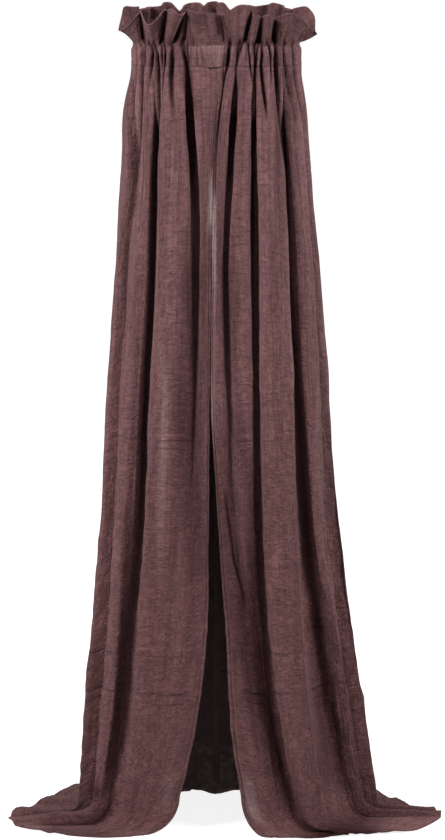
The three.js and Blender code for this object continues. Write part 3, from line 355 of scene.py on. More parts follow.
RIGHT = {
    "name": "right", "sign": 1, "seed": 23,
    "reaches": (0.158, 0.190, 0.286), "tuck": 0.002, "train": 0.412, "facing_start": FRONT_LAP + GAP,
    "front": [
        ((223.4, 217.3, 214.2, 211.5, 211.4, 218.4, 226.2, 232.3, 243),
         (0, -1, -3, -4, -3, -3, -5, -5, -5), 0),
        ((229, 223.5, 220.5, 216.8, 217, 224, 234.5, 241, 251), (2, 4, 4, 2, 2, 3, 2, 2, 2), 2),
        ((233.8, 230, 226.5, 221.8, 224.5, 231, 244, 251.5, 259), (2, 5, 6, 3, 2, 3, 0, -1, -1), 2),
        ((235.2, 232.4, 229, 224.6, 228.4, 234.5, 248.5, 257, 264),
         (-3, -15, -18, -14, -8, -3, -4, -4, -2), 0),
        ((236.9, 235.7, 233.4, 227.8, 231.6, 236.8, 252, 261, 268),
         (-3, -15, -18, -14, -8, -2, -5, -5, -3), 0),
        ((238.6, 238.2, 237, 231.5, 235.5, 239, 254.5, 264.5, 272), (2, 4, 5, 4, 3, 1, -4, -4, -3), 0),
        ((245, 245, 244.5, 240.5, 241.5, 243.5, 257.5, 268, 277), (2, 7, 8, 8, 6, 3, -5, -5, -3), 0),
        ((249.3, 250.4, 249.3, 249.4, 250.6, 251.3, 261.5, 272, 282), (1, 5, 6, 6, 4, 1, -7, -8, -5), 0),
        ((250.9, 252, 251.6, 252, 254.2, 257.2, 266, 280, 291),
         (-3, -13, -20, -30, -28, -22, -15, -13, -8), 0),
        ((253.2, 254.6, 256.2, 257.9, 258.6, 261.6, 269.6, 284, 296),
         (-3, -13, -20, -30, -28, -22, -15, -13, -8), 0),
        ((256, 256.8, 258.8, 260.8, 261.8, 264.8, 272, 286.3, 299.5), (2, 6, 8, 8, 8, 8, 8, 8, 6), 8),
        ((263.5, 264.5, 265.4, 267.4, 269.4, 274, 281, 293, 305.5), (2, 7, 10, 10, 10, 10, 10, 9, 7), 4),
        ((270, 270.5, 271.5, 276, 279.5, 285, 291.5, 302, 312), (2, 8, 12, 12, 12, 12, 11, 9, 6), 3),
        ((273.8, 275.5, 279.5, 284.5, 287.5, 293.5, 301.5, 311, 319), (2, 6, 9, 10, 10, 10, 9, 7, 4), 3),
        ((275, 277.2, 282.3, 288.6, 293, 297, 302.5, 312.5, 323), (1, 4, 6, 7, 8, 8, 8, 7, 4), 2),
        ((276.3, 279, 284.3, 290.6, 294.4, 297.8, 303.5, 320, 335),
         (-3, -15, -20, -28, -28, -28, -26, -16, -12), 0),
        ((278.8, 281.5, 287.3, 294.4, 299, 304.7, 318, 338, 348),
         (-3, -15, -20, -28, -26, -26, -28, -26, -14), 0),
        ((281.2, 284.2, 290.2, 298.5, 304.5, 313.5, 331, 351, 357), (2, 4, 5, 3, 1, 1, -8, -12, 0), 3),
        ((290, 291, 295, 304.5, 312.5, 321.5, 338.5, 358, 363), (2, 5, 6, 7, 7, 7, 4, 4, 5), 13),
        ((297, 298, 302, 311, 320.5, 328.5, 344, 363, 368), (2, 6, 8, 8, 8, 8, 7, 7, 8), 17),
    ],
    "rest": [
        ((0.42, 0.43, 0.462), (-0.3, -0.4, -0.5)), ((0.45, 0.455, 0.49), (0.9, 1.1, 1.5)),
        ((0.505, 0.51, 0.54), (-0.8, -0.9, -0.8)), ((0.565, 0.57, 0.59), (0.9, 1, 0.9)),
        ((0.625, 0.625, 0.64), (-0.9, -1, -0.8)), ((0.685, 0.685, 0.695), (0.8, 1, 0.9)),
        ((0.745, 0.745, 0.75), (-0.8, -1.1, -0.8)), ((0.805, 0.81, 0.81), (0.9, 1, 0.9)),
        ((0.87, 0.875, 0.87), (-0.9, -0.9, -0.7)), ((0.935, 0.94, 0.935), (0.8, 0.8, 0.7)),
        ((1, 1, 1), (-0.3, -0.3, -0.2)),
    ],
    "hem": [
        (0.057, 0.206, -0.95), (0.074, 0.25, -0.98), (0.0916, 0.3, -0.99), (0.1116, 0.36, -1),
        (0.132, 0.42, -1), (0.153, 0.48, -0.98), (0.1726, 0.53, -0.96), (0.211, 0.62, -0.89),
        (0.2417, 0.68, -0.83), (0.2755, 0.76, -0.86), (0.3068, 0.83, -0.79), (0.348, 0.9, -0.54),
        (0.3775, 0.95, -0.33), (0.41, 0.985, -0.14), (0.45, 0.99, -0.02), (0.49, 0.96, 0.08),
        (0.54, 0.88, 0.2), (0.59, 0.82, 0.34), (0.64, 0.77, 0.54), (0.695, 0.7, 0.76), (0.75, 0.6, 0.9),
        (0.81, 0.46, 0.92), (0.87, 0.31, 0.82), (0.935, 0.16, 0.775), (1, 0, 0.775),
    ],
    "frill": [
        (224.5, 218.5, 15.8, -5, 0), (227, 221, 15.6, -3, 0), (229.5, 223.8, 15, 2, 0),
        (231.5, 227, 12, 6, 0), (234, 231, 9.8, 9, 0), (236.5, 237, 6.2, 8, 0), (239, 243.5, 4.6, 6, 0),
        (241.3, 249, 5, 3, 0), (243, 251.5, 8, -3, 16), (245, 252.5, 12, -5, 18), (247, 254, 16.3, 5, 2),
        (250, 257, 16.2, 13, 0), (252.7, 260, 16.5, 10, 0), (255.5, 261, 18, 0, 18),
        (258.5, 261.6, 19, -2, 18), (261, 262.3, 17.5, 5, 2), (263, 265.5, 15.3, 15, 0),
        (265, 269.5, 15.2, 18, 0), (266.7, 272.5, 18, 11, 0), (269.5, 273.8, 19.5, 0, 18),
        (272.5, 275, 18.5, -3, 18), (275, 277.8, 16.5, 5, 2), (278.5, 282, 15.5, 11, 0),
        (282, 289, 13.2, 17, 0), (285.5, 296, 14.7, 22, 0), (289, 303, 19.5, 26, 0), (292, 308, 24.5, 27, 0),
        (294, 306.5, 26.5, 18, 10), (296, 310, 29, 22, 4), (297.6, 317, 34.4, 29, 0),
    ],
    "waves": [
        (0.512, 1.2, 0.42), (0.532, 1.2, 0.74), (0.556, 1.1, 0.96), (0.585, 0.85, 1.1), (0.62, 0.2, 1.06),
        (0.65, 0.8, 0.98), (0.69, 0.1, 1.08), (0.72, 0.6, 1.1), (0.75, 0.1, 1.19), (0.79, 0.5, 1.12),
        (0.84, -0.2, 1.08), (0.87, 0.5, 1.08), (0.91, -0.1, 0.98), (0.941, 0.2, 0.94), (0.97, 0.4, 1.16),
    ],
    "creases": [
        (1.8, ((44, 230, 7), (50, 229, 8), (60, 228.5, 8), (66, 227.5, 7), (72, 225.5, 5), (80, 223.7, 3.5),
               (90, 222.2, 3), (107, 219.7, 4), (130, 217.5, 3), (160, 215.5, 0))),
        (2.4, ((40, 240, 6), (50, 238.5, 7), (58, 237.5, 5), (66, 236.5, 3.5), (76, 236, 3), (90, 235, 6),
               (107, 234, 7), (160, 231, 5), (240, 226, 0))),
        (1.4, ((40, 243, 4), (50, 241, 6), (56, 241, 0))),
        (1.5, ((40, 248.5, 4), (50, 248.5, 5), (60, 250, 5), (72, 251, 4), (90, 253, 0))),
        (1.2, ((40, 253, 3), (52, 253, 3), (60, 253, 1.5), (66, 253, 0))),
        (1.6, ((80, 255, 6), (107, 253.5, 8), (160, 253.5, 6), (275, 253.5, 3), (400, 256, 0))),
        (1.4, ((42, 259, 4), (52, 257.5, 6), (60, 257, 8), (72, 256, 5), (84, 256, 0))),
        (1.8, ((44, 262, 4), (55, 262.5, 6), (66, 261.5, 8), (80, 263, 10), (90, 264, 8), (107, 266.5, 4),
               (130, 268, 0))),
        (1.4, ((40, 266, 5), (48, 270, 6), (56, 271, 4), (72, 271, 3), (90, 271, 0))),
        (2.2, ((42, 275, 5), (50, 277, 7), (60, 276.3, 8), (72, 277, 10), (90, 278.5, 9), (107, 279.5, 6),
               (160, 284.5, 2), (200, 288, 0))),
        (1.4, ((42, 284, 6), (50, 284.5, 4), (60, 285, 5), (80, 287, 5), (107, 293, 3), (150, 298, 0))),
        (1.5, ((42, 293, 4), (60, 294.5, 4), (80, 296, 4), (107, 300, 4), (160, 306, 2), (220, 310, 0))),
    ],
    # As on the left: cloth lying double or thin, painted shade in grooves and on the train, and painted light
    # along the slit and on a lit edge
    "tones": [
        (8, ((200, 222, 0), (240, 226, 0.35), (275, 226, 0.5), (340, 228, 0.4), (400, 233, 0.14),
             (450, 243, 0.3), (480, 250, 0.36), (525, 253, 0.34), (580, 256, 0.34), (640, 258, 0.4),
             (700, 265, 0.45), (760, 279, 0.4), (800, 290, 0.36), (825, 303, 0.2), (836, 308, 0))),
        (12, ((530, 246, 0), (565, 248, 0.22), (615, 251, 0.26), (670, 255, 0.28), (700, 258, 0.4),
              (740, 266, 0.44), (770, 275, 0.42), (800, 284, 0.3), (822, 292, 0))),
        (15, ((400, 224, 0), (440, 222, 0.24), (480, 222, 0.32), (525, 228, 0.38), (560, 230, 0.3),
              (600, 236, 0.34), (640, 240, 0.32), (680, 246, 0.2), (730, 252, 0))),
        (1.7, ((485, 224, 0), (500, 226, 0.35), (525, 229, 0.45), (560, 234, 0.6), (590, 242, 0.35),
               (620, 247, 0))),
        (2.8, ((188, 213.5, 0), (205, 213, -0.7), (235, 212.7, -0.95), (262, 213, -0.85), (285, 213.6, -0.4),
               (315, 213.2, -0.1), (360, 212.6, -0.1), (400, 212.4, -0.3), (445, 212.4, -0.3),
               (468, 213, 0))),
        (5.5, ((380, 299, 0), (400, 299, 0.15), (440, 300, 0.3), (480, 302, 0.45), (525, 305, 0.6),
               (570, 309, 0.6), (615, 315, 0.6), (640, 319, 0.6), (670, 324, 0.55), (700, 329, 0.55),
               (740, 337, 0.55), (775, 342, 0.55), (800, 347, 0))),
        (9, ((590, 312, 0), (620, 315, 0.3), (670, 319, 0.45), (705, 321, 0.5), (740, 325, 0.45),
             (775, 328, 0.42), (798, 330, 0))),
        (9, ((230, 312, 0), (280, 316, -0.06), (400, 322, -0.07), (480, 326, -0.05), (560, 332, 0))),
        (42, ((804, 328, 0), (816, 336, 0.15), (824, 342, 0.55), (836, 344, 0.85))),
        (6, ((770, 246, 0), (790, 249, -0.2), (808, 253, -0.34), (816, 256, -0.3), (826, 260, 0))),
    ],
    "widen": ((0, 0), (0.11, -1), (0.24, -3), (0.4, -8), (0.58, -6), (0.75, 0.5), (0.84, 6), (1.0, 9),
              (1.2, 7),
              (1.3, 4), (1.4, 0)),
    "lap": 5.5, "back_lap": 0,
    "shear": (-5, 12),
}

hoop_low = np.minimum(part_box("left_hoop")[0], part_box("right_hoop")[0])
hoop_high = np.maximum(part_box("left_hoop")[1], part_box("right_hoop")[1])
crown = (hoop_low + hoop_high) / 2


# Outlines of the hanging cloth, relative to the crown's middle
def through_three(values, height):
    s = MIDDLE_SHARE
    top, middle, foot = values
    return (top * height * (height - s) / (1 - s) + middle * height * (1 - height) / (s * (1 - s))
            + foot * (1 - height) * (s - height) / s)


def smoothstep(x, low, high):
    t = np.clip((x - low) / (high - low), 0, 1)
    return t * t * (3 - 2 * t)


def outline_point(sign, half_width, depth, turn, lift):
    angle = turn * np.pi
    across = half_width * np.sin(angle)
    end = half_width * (1 - STRAIGHT_SHARE)
    past = np.maximum(0, np.abs(across) - half_width * STRAIGHT_SHARE)
    along = -np.sign(np.cos(angle)) * depth * np.sqrt(np.maximum(0, 1 - (past / end) ** 2))
    out_x, out_y = np.sign(across) * past / end ** 2, along / depth ** 2
    size = np.hypot(out_x, out_y)
    return sign * (across + out_x / size * lift), along + out_y / size * lift


def level_outline(side, height, behind):
    shoulder, middle, foot = side["reaches"]
    top = shoulder + (shoulder - middle) * (1 - SHOULDER_SHARE) / (SHOULDER_SHARE - MIDDLE_SHARE)
    half_width = (through_three((top, middle, foot), height) - through_three(FOLD_DEPTHS, height)
                  - side["tuck"] * smoothstep(height, SHOULDER_SHARE, 1))
    puff = np.sin(np.pi * np.clip((1 - height) / (1 - MIDDLE_SHARE), 0, 1)) / 2
    front = through_three(FRONT_DEPTHS, height) + puff * (FRONT_SHOULDER - FRONT_DEPTHS[0])
    back = through_three(BACK_DEPTHS, height) + puff * (BACK_SHOULDER - BACK_DEPTHS[0])
    return half_width, np.where(behind, back, front)


def seen_through(row, y):
    """Height at depth y, and metres to a pixel there, for a row of the photograph"""
    up = (IMAGE_HEIGHT / 2 - row) / FOCAL_PIXELS
    reach = y + CAMERA_DISTANCE
    drop = (math.sin(CAMERA_PITCH) - up * math.cos(CAMERA_PITCH)) / (
        math.cos(CAMERA_PITCH) + up * math.sin(CAMERA_PITCH))
    z = CAMERA_HEIGHT - reach * drop
    distance = reach * math.cos(CAMERA_PITCH) + (CAMERA_HEIGHT - z) * math.sin(CAMERA_PITCH)
    return z, distance / FOCAL_PIXELS


def across_at(column, per_pixel):
    """Distance from the crown's middle, to the right, for a column of the photograph"""
    return (column - IMAGE_WIDTH / 2) * per_pixel + CAMERA_OFFSET


def photo_place(x, y, z):
    """Column and row of the photograph for a point given from the crown's middle"""
    reach, drop = y + CAMERA_DISTANCE, CAMERA_HEIGHT - z
    distance = reach * math.cos(CAMERA_PITCH) + drop * math.sin(CAMERA_PITCH)
    column = IMAGE_WIDTH / 2 + FOCAL_PIXELS * (x - CAMERA_OFFSET) / distance
    fallen = drop * math.cos(CAMERA_PITCH) - reach * math.sin(CAMERA_PITCH)
    return column, IMAGE_HEIGHT / 2 + FOCAL_PIXELS * fallen / distance


def hermite(t, start, leaving, end, arriving):
    """A cubic curve from start to end, with its slope at each, as t goes from 0 to 1"""
    return ((2 * t ** 3 - 3 * t ** 2 + 1) * start + (t ** 3 - 2 * t ** 2 + t) * leaving
            + (3 * t ** 2 - 2 * t ** 3) * end + (t ** 3 - t ** 2) * arriving)


def through_levels(levels, values, heights):
    """A smooth curve through a value at each level, straight beyond the ends, without overshoot"""
    levels, values = np.asarray(levels, float), np.asarray(values, float)
    if levels[0] > levels[-1]:
        levels, values = levels[::-1], values[::-1]
    steps = np.diff(values) / np.diff(levels)
    slopes = np.concatenate([[steps[0]], (steps[1:] + steps[:-1]) / 2, [steps[-1]]])
    flat = np.concatenate([[False], steps[1:] * steps[:-1] <= 0, [False]])
    slopes[flat] *= TURNING_SLOPE
    at = np.clip(np.searchsorted(levels, heights) - 1, 0, len(levels) - 2)
    span = levels[at + 1] - levels[at]
    t = np.clip((heights - levels[at]) / span, 0, 1)
    cubic = hermite(t, values[at], span * slopes[at], values[at + 1], span * slopes[at + 1])
    beyond = np.minimum(heights - levels[0], 0) * slopes[0] + np.maximum(heights - levels[-1], 0) * slopes[-1]
    return cubic + beyond


# Random but repeatable bumps
def noise(seed, u, v, period_u, period_v):
    size = NOISE_SIZE
    grid = np.random.default_rng(seed).uniform(-1, 1, (size, size))
    a, b = np.asarray(u) / period_u + NOISE_SHIFT, np.asarray(v) / period_v + NOISE_SHIFT
    ia, ib = np.floor(a).astype(int), np.floor(b).astype(int)
    fa, fb = a - ia, b - ib
    fa, fb = fa * fa * (3 - 2 * fa), fb * fb * (3 - 2 * fb)
    corner = lambda i, j: grid[(ia + i) % size, (ib + j) % size]
    return ((corner(0, 0) * (1 - fa) + corner(1, 0) * fa) * (1 - fb)
            + (corner(0, 1) * (1 - fa) + corner(1, 1) * fa) * fb)


def bumpy(seed, layers, s, t, least=-1):
    """Layers of noise over the flat cloth, none of them lower than its least"""
    return sum(height * np.maximum(least, noise(seed + step, s + slant * t, t, *periods))
               for step, slant, height, *periods in layers)


def pleats(seed, s, pitch, spread=0.35, sharpness=0.75):
    """Round crests with narrow hollows between, of uneven widths and heights, from 0 to 1"""
    rng = np.random.default_rng(seed)
    count = int(np.ptp(s) / pitch / (1 - spread)) + SPARE_PLEATS
    start = s.min() - pitch * rng.uniform(*PLEAT_STARTS)
    edges = start + running(pitch * (1 + spread * rng.uniform(-1, 1, count)))
    tall = rng.uniform(*PLEAT_HEIGHTS, count + 1)
    at = np.clip(np.searchsorted(edges, s) - 1, 0, count - 1)
    u = np.clip((s - edges[at]) / (edges[at + 1] - edges[at]), 0, 1)
    return tall[at] * np.sin(np.pi * u) ** sharpness


def smooth_columns(points, counts):
    """Centripetal curves through guide points (guide, row, 3), with so many steps in each span"""
    padded = np.concatenate([2 * points[:1] - points[1:2], points, 2 * points[-1:] - points[-2:-1]])
    columns = []
    for k, count in enumerate(counts):
        p0, p1, p2, p3 = padded[k:k + 4]
        dt0, dt1, dt2 = (np.maximum(np.linalg.norm(b - a, axis=1), SMALL)[:, None] ** 0.5
                         for a, b in ((p0, p1), (p1, p2), (p2, p3)))
        m1 = ((p1 - p0) / dt0 - (p2 - p0) / (dt0 + dt1) + (p2 - p1) / dt1) * dt1
        m2 = ((p2 - p1) / dt1 - (p3 - p1) / (dt1 + dt2) + (p3 - p2) / dt2) * dt1
        columns += [hermite(t, p1, m1, p2, m2) for t in np.arange(count) / count]
    columns.append(points[-1])
    return np.stack(columns, axis=1)


def grid_normals(grid, facing):
    normal = np.cross(np.gradient(grid, axis=1), np.gradient(grid, axis=0)) * facing
    return normal / np.maximum(np.linalg.norm(normal, axis=2, keepdims=True), SMALLEST)


def spans_of(line):
    return np.linalg.norm(np.diff(line, axis=0), axis=1)


def running(steps):
    """Running sum of the steps, from 0"""
    return np.concatenate([[0], np.cumsum(steps)])


def arc_lengths(grid):
    """Flat places of the grid's points: across the cloth and down it, averaged over rows and columns"""
    across = np.linalg.norm(np.diff(grid, axis=1), axis=2).mean(0)
    down = np.linalg.norm(np.diff(grid, axis=0), axis=2).mean(1)
    return running(across), running(down)


# Gathers below and above the line where the cloth is drawn in
def crown_point(side, turn, offset, height):
    x, y = outline_point(side["sign"], CROWN_HALF_WIDTH, CROWN_HALF_DEPTH, turn, offset)
    return np.stack(np.broadcast_arrays(x, y, height), -1)


def along_crown(turn):
    """Length along the crown from its front middle"""
    turns = np.linspace(*CROWN_TURNS)
    line = crown_point(LEFT, turns, 0, 0)
    return np.interp(turn, turns, running(spans_of(line)))


def turn_seen(side, column, row):
    """Turn of the place on the crown that is seen at a column and row of the photograph"""
    _, per_pixel = seen_through(row, -CROWN_HALF_DEPTH)
    across = side["sign"] * across_at(column, per_pixel)
    return math.asin(np.clip(across / CROWN_HALF_WIDTH, -MOST_SINE, MOST_SINE)) / math.pi


def hollows(side, turn, column, row):
    """How deep the photograph's narrow hollows are, in metres"""
    deep = 0 * column
    for width, marks in side["creases"]:
        rows, places, depths = zip(*marks)
        near = np.abs(column - np.interp(row, rows, places)) / width
        deep = np.maximum(deep, MM * np.interp(row, rows, depths) * np.exp(-near ** 2))
    return deep * (1 - smoothstep(turn, *HOLLOWS_END))


def gathered(side, turn, column, row):
    """How far the gathers draw the cloth in, in metres, by place on the crown and in the photograph"""
    share = FRONT_GATHER_SHARE + (1 - FRONT_GATHER_SHARE) * smoothstep(turn, *BEHIND)
    drawn = GATHER_DEPTH * share * (1 - pleats(side["seed"], along_crown(turn), GATHER_PITCH))
    return drawn + HOLLOW_SCALE * hollows(side, turn, column, row)


def tone_of(side, turn, column, row, deep):
    """How much darker than plain cloth a place is, from -1 to 1: where it lies double or thin, painted shade
    and painted light from the tables, and painted shade in the hollows of the gathers
    """
    tone = 0 * column
    for width, marks in side["tones"]:
        rows, places, amounts = zip(*marks)
        near = np.abs(column - np.interp(row, rows, places)) / width
        tone = tone + np.interp(row, rows, amounts) * np.exp(-near ** 3)
    # Painted shade in the hollows of the gathers: the deeper, the darker
    hollow = HOLLOW_PAINTED_SHADE * np.clip(deep / HOLLOW_DARKNESS, 0, 1) ** HOLLOW_POWER
    return np.clip(tone * (1 - smoothstep(turn, *TONES_END)) + hollow, -1, 1)


def wall_stand(turn):
    """How far the crests of the gathers stand outside the crown"""
    return (WALL_REACH + SIDE_FULLNESS * np.sin(np.pi * np.clip(turn, 0, 1)) ** 2
            + FRONT_FULLNESS * (1 - smoothstep(turn, *FRONT_END)))


# Meshes
def make_object(name, vertices, faces, material, uv_layers=(), flat_from=None):
    """A mesh of four-sided faces, smooth up to the face number given"""
    mesh = bpy.data.meshes.new(name)
    faces = np.asarray(faces, np.int32)
    count = len(faces)
    mesh.vertices.add(len(vertices))
    mesh.vertices.foreach_set("co", np.asarray(vertices, np.float32).ravel())
    mesh.loops.add(faces.size)
    mesh.loops.foreach_set("vertex_index", faces.ravel())
    mesh.polygons.add(count)
    mesh.polygons.foreach_set("loop_start", np.arange(count, dtype=np.int32) * faces.shape[1])
    mesh.polygons.foreach_set("use_smooth", np.arange(count) < (count if flat_from is None else flat_from))
    mesh.update(calc_edges=True)
    for layer_name, values in uv_layers:
        layer = mesh.uv_layers.new(name=layer_name)
        layer.uv.foreach_set("vector", np.asarray(values, np.float32).ravel())
    mesh.validate()
    mesh.materials.append(material)
    obj = bpy.data.objects.new(name, mesh)
    bpy.context.scene.collection.objects.link(obj)
    return obj


def point_pairs(across, down):
    """A pair of values for each point of a grid, from a row of values and a column of them"""
    return np.stack(np.broadcast_arrays(across[None, :], down[:, None]), 2).reshape(-1, 2)


def cloth_object(name, grid, thickness, facing, material, tone, inner_tone=None, hem_shift=0):
    """A closed cloth: the grid thickened to both sides and kept above the floor, its flat places as a map"""
    rows, columns = grid.shape[:2]
    thickness = np.broadcast_to(thickness, (rows, columns))[:, :, None]
    normal = grid_normals(grid, facing)
    sides = [grid + side * normal * thickness / 2 for side in (1, -1)]
    vertices = np.concatenate([s.reshape(-1, 3) for s in sides]) + np.array([crown[0], crown[1], 0])
    vertices[:, 2] = np.maximum(vertices[:, 2], 0)
    layer = rows * columns
    index = np.arange(layer).reshape(rows, columns)
    outer = np.stack([index[:-1, :-1], index[:-1, 1:], index[1:, 1:], index[1:, :-1]], 2).reshape(-1, 4)
    strips = [(index[:-1, 0], index[1:, 0]), (index[1:, -1], index[:-1, -1]),
              (index[0, 1:], index[0, :-1]), (index[-1, :-1], index[-1, 1:])]
    rim = np.concatenate([np.stack([p, q, q + layer, p + layer], 1) for p, q in strips])
    faces = np.concatenate([outer, outer[:, ::-1] + layer, rim])
    if facing < 0:
        faces = faces[:, ::-1]
    s, t = arc_lengths(grid)
    flat = np.tile(point_pairs(s, t), (2, 1))
    hem = np.tile(point_pairs(s - s[0], t[-1] - t + hem_shift), (2, 1))
    share = point_pairs(np.linspace(*MAP_SPAN, columns), np.linspace(*MAP_ROWS, rows))
    baked = np.concatenate([share, share + [MAP_SHIFT, 0]])[faces]
    rim_map = baked[2 * len(outer):]
    moved = (rim_map[:, :, 0] > 0.5) & (np.ptp(rim_map[:, :, 0], axis=1) > RIM_FAR)[:, None]
    rim_map[moved] += [RIM_ACROSS - MAP_SHIFT, RIM_DOWN]
    inner_tone = tone if inner_tone is None else inner_tone
    shade = 0.5 + 0.5 * np.concatenate([inner_tone.ravel(), tone.ravel()])
    shade = np.stack([shade, np.full(shade.size, 0.5)], 1)
    layers = [("Flat", flat[faces]), ("Hem", hem[faces]), ("Tone", shade[faces]),
              ("OFBake", np.clip(baked, *MAP_LIMITS))]
    return make_object(name, vertices, faces, material, layers, 2 * len(outer))


# Materials
def node_maker(tree):
    """A function that adds a node to a tree, with each input linked or set"""
    def node(kind, inputs=(), **settings):
        made = tree.nodes.new(kind)
        for key, value in settings.items():
            setattr(made, key, value)
        for key, value in dict(inputs).items():
            if isinstance(value, bpy.types.NodeSocket):
                tree.links.new(value, made.inputs[key])
            else:
                made.inputs[key].default_value = value
        return made

    return node


def new_material(name):
    material = bpy.data.materials.new(name)
    material.use_nodes = True
    tree = material.node_tree
    return material, tree.nodes["Principled BSDF"], node_maker(tree), tree.links


def maths(node, operation, *values):
    return node("ShaderNodeMath", dict(enumerate(values)), operation=operation).outputs[0]


def scaled_noise(node, place, scale, detail, roughness=0.55):
    stretched = node("ShaderNodeMapping", {"Vector": place, "Scale": scale})
    return node("ShaderNodeTexNoise", {"Vector": stretched.outputs["Vector"], "Scale": 1, "Detail": detail,
                                       "Roughness": roughness}).outputs["Fac"]


def ramp(node, value, low, high, low_out, high_out):
    return node("ShaderNodeMapRange", {"Value": value, "From Min": low, "From Max": high, "To Min": low_out,
                                       "To Max": high_out}).outputs["Result"]


def mixed(node, factor, a, b, blend="MIX"):
    return node("ShaderNodeMix", {0: factor, 6: a, 7: b}, data_type="RGBA", blend_type=blend).outputs[2]


def total(node, *values):
    result = values[0]
    for value in values[1:]:
        result = maths(node, "ADD", result, value)
    return result


def times(node, a, b):
    return maths(node, "MULTIPLY", a, b)


def darker(colour, share):
    return tuple(share * c for c in colour[:3]) + (1,)


def weighted(node, layers, weights, low):
    """Sum of layers, each times a weight that runs from the cloth's top to low down"""
    parts = []
    for name, ends in weights.items():
        weight = ends[0] if ends[0] == ends[1] else ramp(node, low, 0, 1, *ends)
        parts.append(times(node, layers[name], weight))
    return total(node, *parts)


def distance_from(node, value, place):
    return maths(node, "ABSOLUTE", maths(node, "SUBTRACT", value, place))


def line_mask(node, value, place, half_width):
    """1 on a line at a place of the given coordinate, fading out at its sides"""
    return ramp(node, distance_from(node, value, place), half_width * 0.5, half_width, 1, 0)


def map_parts(node, name):
    """The two coordinates of one of the cloth's maps"""
    parts = node("ShaderNodeSeparateXYZ", {0: node("ShaderNodeUVMap", uv_map=name).outputs["UV"]})
    return parts.outputs[0], parts.outputs[1]


def storage_creases(node, relief, down, layers):
    """Relief with the creases across the cloth, which sway and break off"""
    swayed = total(node, down, times(node, layers["sway"], CREASE_SWAY))
    broken = ramp(node, layers["breaks"], *CREASE_BREAKS)
    for place, strength in CREASES:
        fold = line_mask(node, swayed, place + CREASE_SWAY / 2, CREASE_WIDTH)
        relief = total(node, relief, times(node, times(node, fold, broken), CREASE_HEIGHT * strength))
    return relief


def stitched_lines(node, relief, across, down):
    """Relief dented along the edge and the hem, and where the thread shows"""
    from_edge, from_hem = map_parts(node, "Hem")
    thread = 0
    for value, run, place in ((from_edge, down, EDGE_STITCH), (from_hem, across, STITCH_PLACE)):
        stitches = ramp(node, maths(node, "SINE", times(node, run, STITCHES)), *STITCH_SPAN, 0, 1)
        line = times(node, line_mask(node, value, place, THREAD_HALF), stitches)
        thread = total(node, line, thread)
        relief = total(node, relief, times(node, line_mask(node, value, place, DENT_HALF), DENT))
    return relief, thread


def gauze_material(name, light, middle, dark, crinkle, stitched=False):
    """Washed crinkled gauze: long crinkles, fine crepe and crumples, an open weave, a colour that varies, and
    the shade and light painted in from the Tone map
    """
    material, shader, node, links = new_material(name)
    flat = node("ShaderNodeUVMap", uv_map="Flat").outputs["UV"]
    across, down = map_parts(node, "Flat")
    low = ramp(node, down, *LOW_SPAN, 0, 1)
    layers = {layer: scaled_noise(node, flat, *settings) for layer, settings in GAUZE_NOISE.items()}
    layers["ridges"] = ramp(node, distance_from(node, layers["crumples"], 0.5), 0, RIDGE_WIDTH, 1, 0)
    tone = weighted(node, layers, TONE_WEIGHTS, low)
    relief = weighted(node, layers, RELIEF_WEIGHTS, low)
    first, second, third = TONE_STEPS
    colour = mixed(node, ramp(node, tone, first, second, 0, 1), dark, middle)
    colour = mixed(node, ramp(node, tone, second, third, 0, 1), colour, light)
    colour = mixed(node, times(node, layers["ridges"], RIDGE_SHADE), colour, dark)
    # Lighter and less red towards the top of the cloth
    colour = mixed(node, 1, colour, mixed(node, low, TOP_TINT, LOW_TINT), "MULTIPLY")
    if stitched:
        relief = storage_creases(node, relief, down, layers)
        relief, thread = stitched_lines(node, relief, across, down)
        colour = mixed(node, times(node, thread, THREAD_SHINE), colour, light)
    # Painted shade and painted light from the Tone map: darker above its middle, paler below it
    shade = map_parts(node, "Tone")[0]
    double_and_shaded = darker(dark, DOUBLE_AND_SHADED_SHARE)
    colour = mixed(node, ramp(node, shade, 0.5, 1, 0, 1), colour, double_and_shaded)
    colour = mixed(node, ramp(node, shade, 0.5, 0, 0, 1), colour, PALE_AND_PAINTED_LIGHT)
    links.new(colour, shader.inputs["Base Color"])
    links.new(ramp(node, layers["crinkles"], *CRINKLE_SPAN, *ROUGHNESSES), shader.inputs["Roughness"])
    # Less sheen and specular where shade is painted
    links.new(ramp(node, shade, *SHADE_SPAN, *SHEENS), shader.inputs["Sheen Weight"])
    links.new(ramp(node, shade, *SHADE_SPAN, *SPECULARS), shader.inputs["Specular IOR Level"])
    shader.inputs["Sheen Roughness"].default_value = SHEEN_ROUGHNESS
    shader.inputs["Sheen Tint"].default_value = SHEEN_TINT
    bump = node("ShaderNodeBump", {"Height": relief, "Strength": crinkle, "Distance": RELIEF_HEIGHT})
    links.new(bump.outputs["Normal"], shader.inputs["Normal"])
    return material


def hard_material(name, colour, roughness, metallic, grain):
    """Metal or moulded plastic: fine grain or brush marks, and a roughness and colour that vary a little"""
    material, shader, node, links = new_material(name)
    place = node("ShaderNodeTexCoord").outputs["Object"]
    marks = scaled_noise(node, place, grain, *MARKS_NOISE)
    smudges = scaled_noise(node, place, *SMUDGES_NOISE)
    tint = mixed(node, ramp(node, smudges, *SMUDGE_SPAN, 0, 1), colour, darker(colour, SMUDGE_TINT))
    wear = total(node, *(times(node, *pair) for pair in zip((marks, smudges), WEAR_SHARES)))
    links.new(tint, shader.inputs["Base Color"])
    links.new(ramp(node, wear, *SMUDGE_SPAN, roughness - WEAR, roughness + WEAR), shader.inputs["Roughness"])
    shader.inputs["Metallic"].default_value = metallic
    bump = node("ShaderNodeBump", {"Height": marks, "Strength": MARK_STRENGTH, "Distance": MARK_HEIGHT})
    links.new(bump.outputs["Normal"], shader.inputs["Normal"])
    return material


gauze = gauze_material("Gauze", *GAUZE_COLOURS, GAUZE_CRINKLE, stitched=True)
patch_cloth = gauze_material("Patch_cloth", *PATCH_COLOURS, PATCH_CRINKLE)
tape_cloth = gauze_material("Tape_cloth", *TAPE_COLOURS, TAPE_CRINKLE)
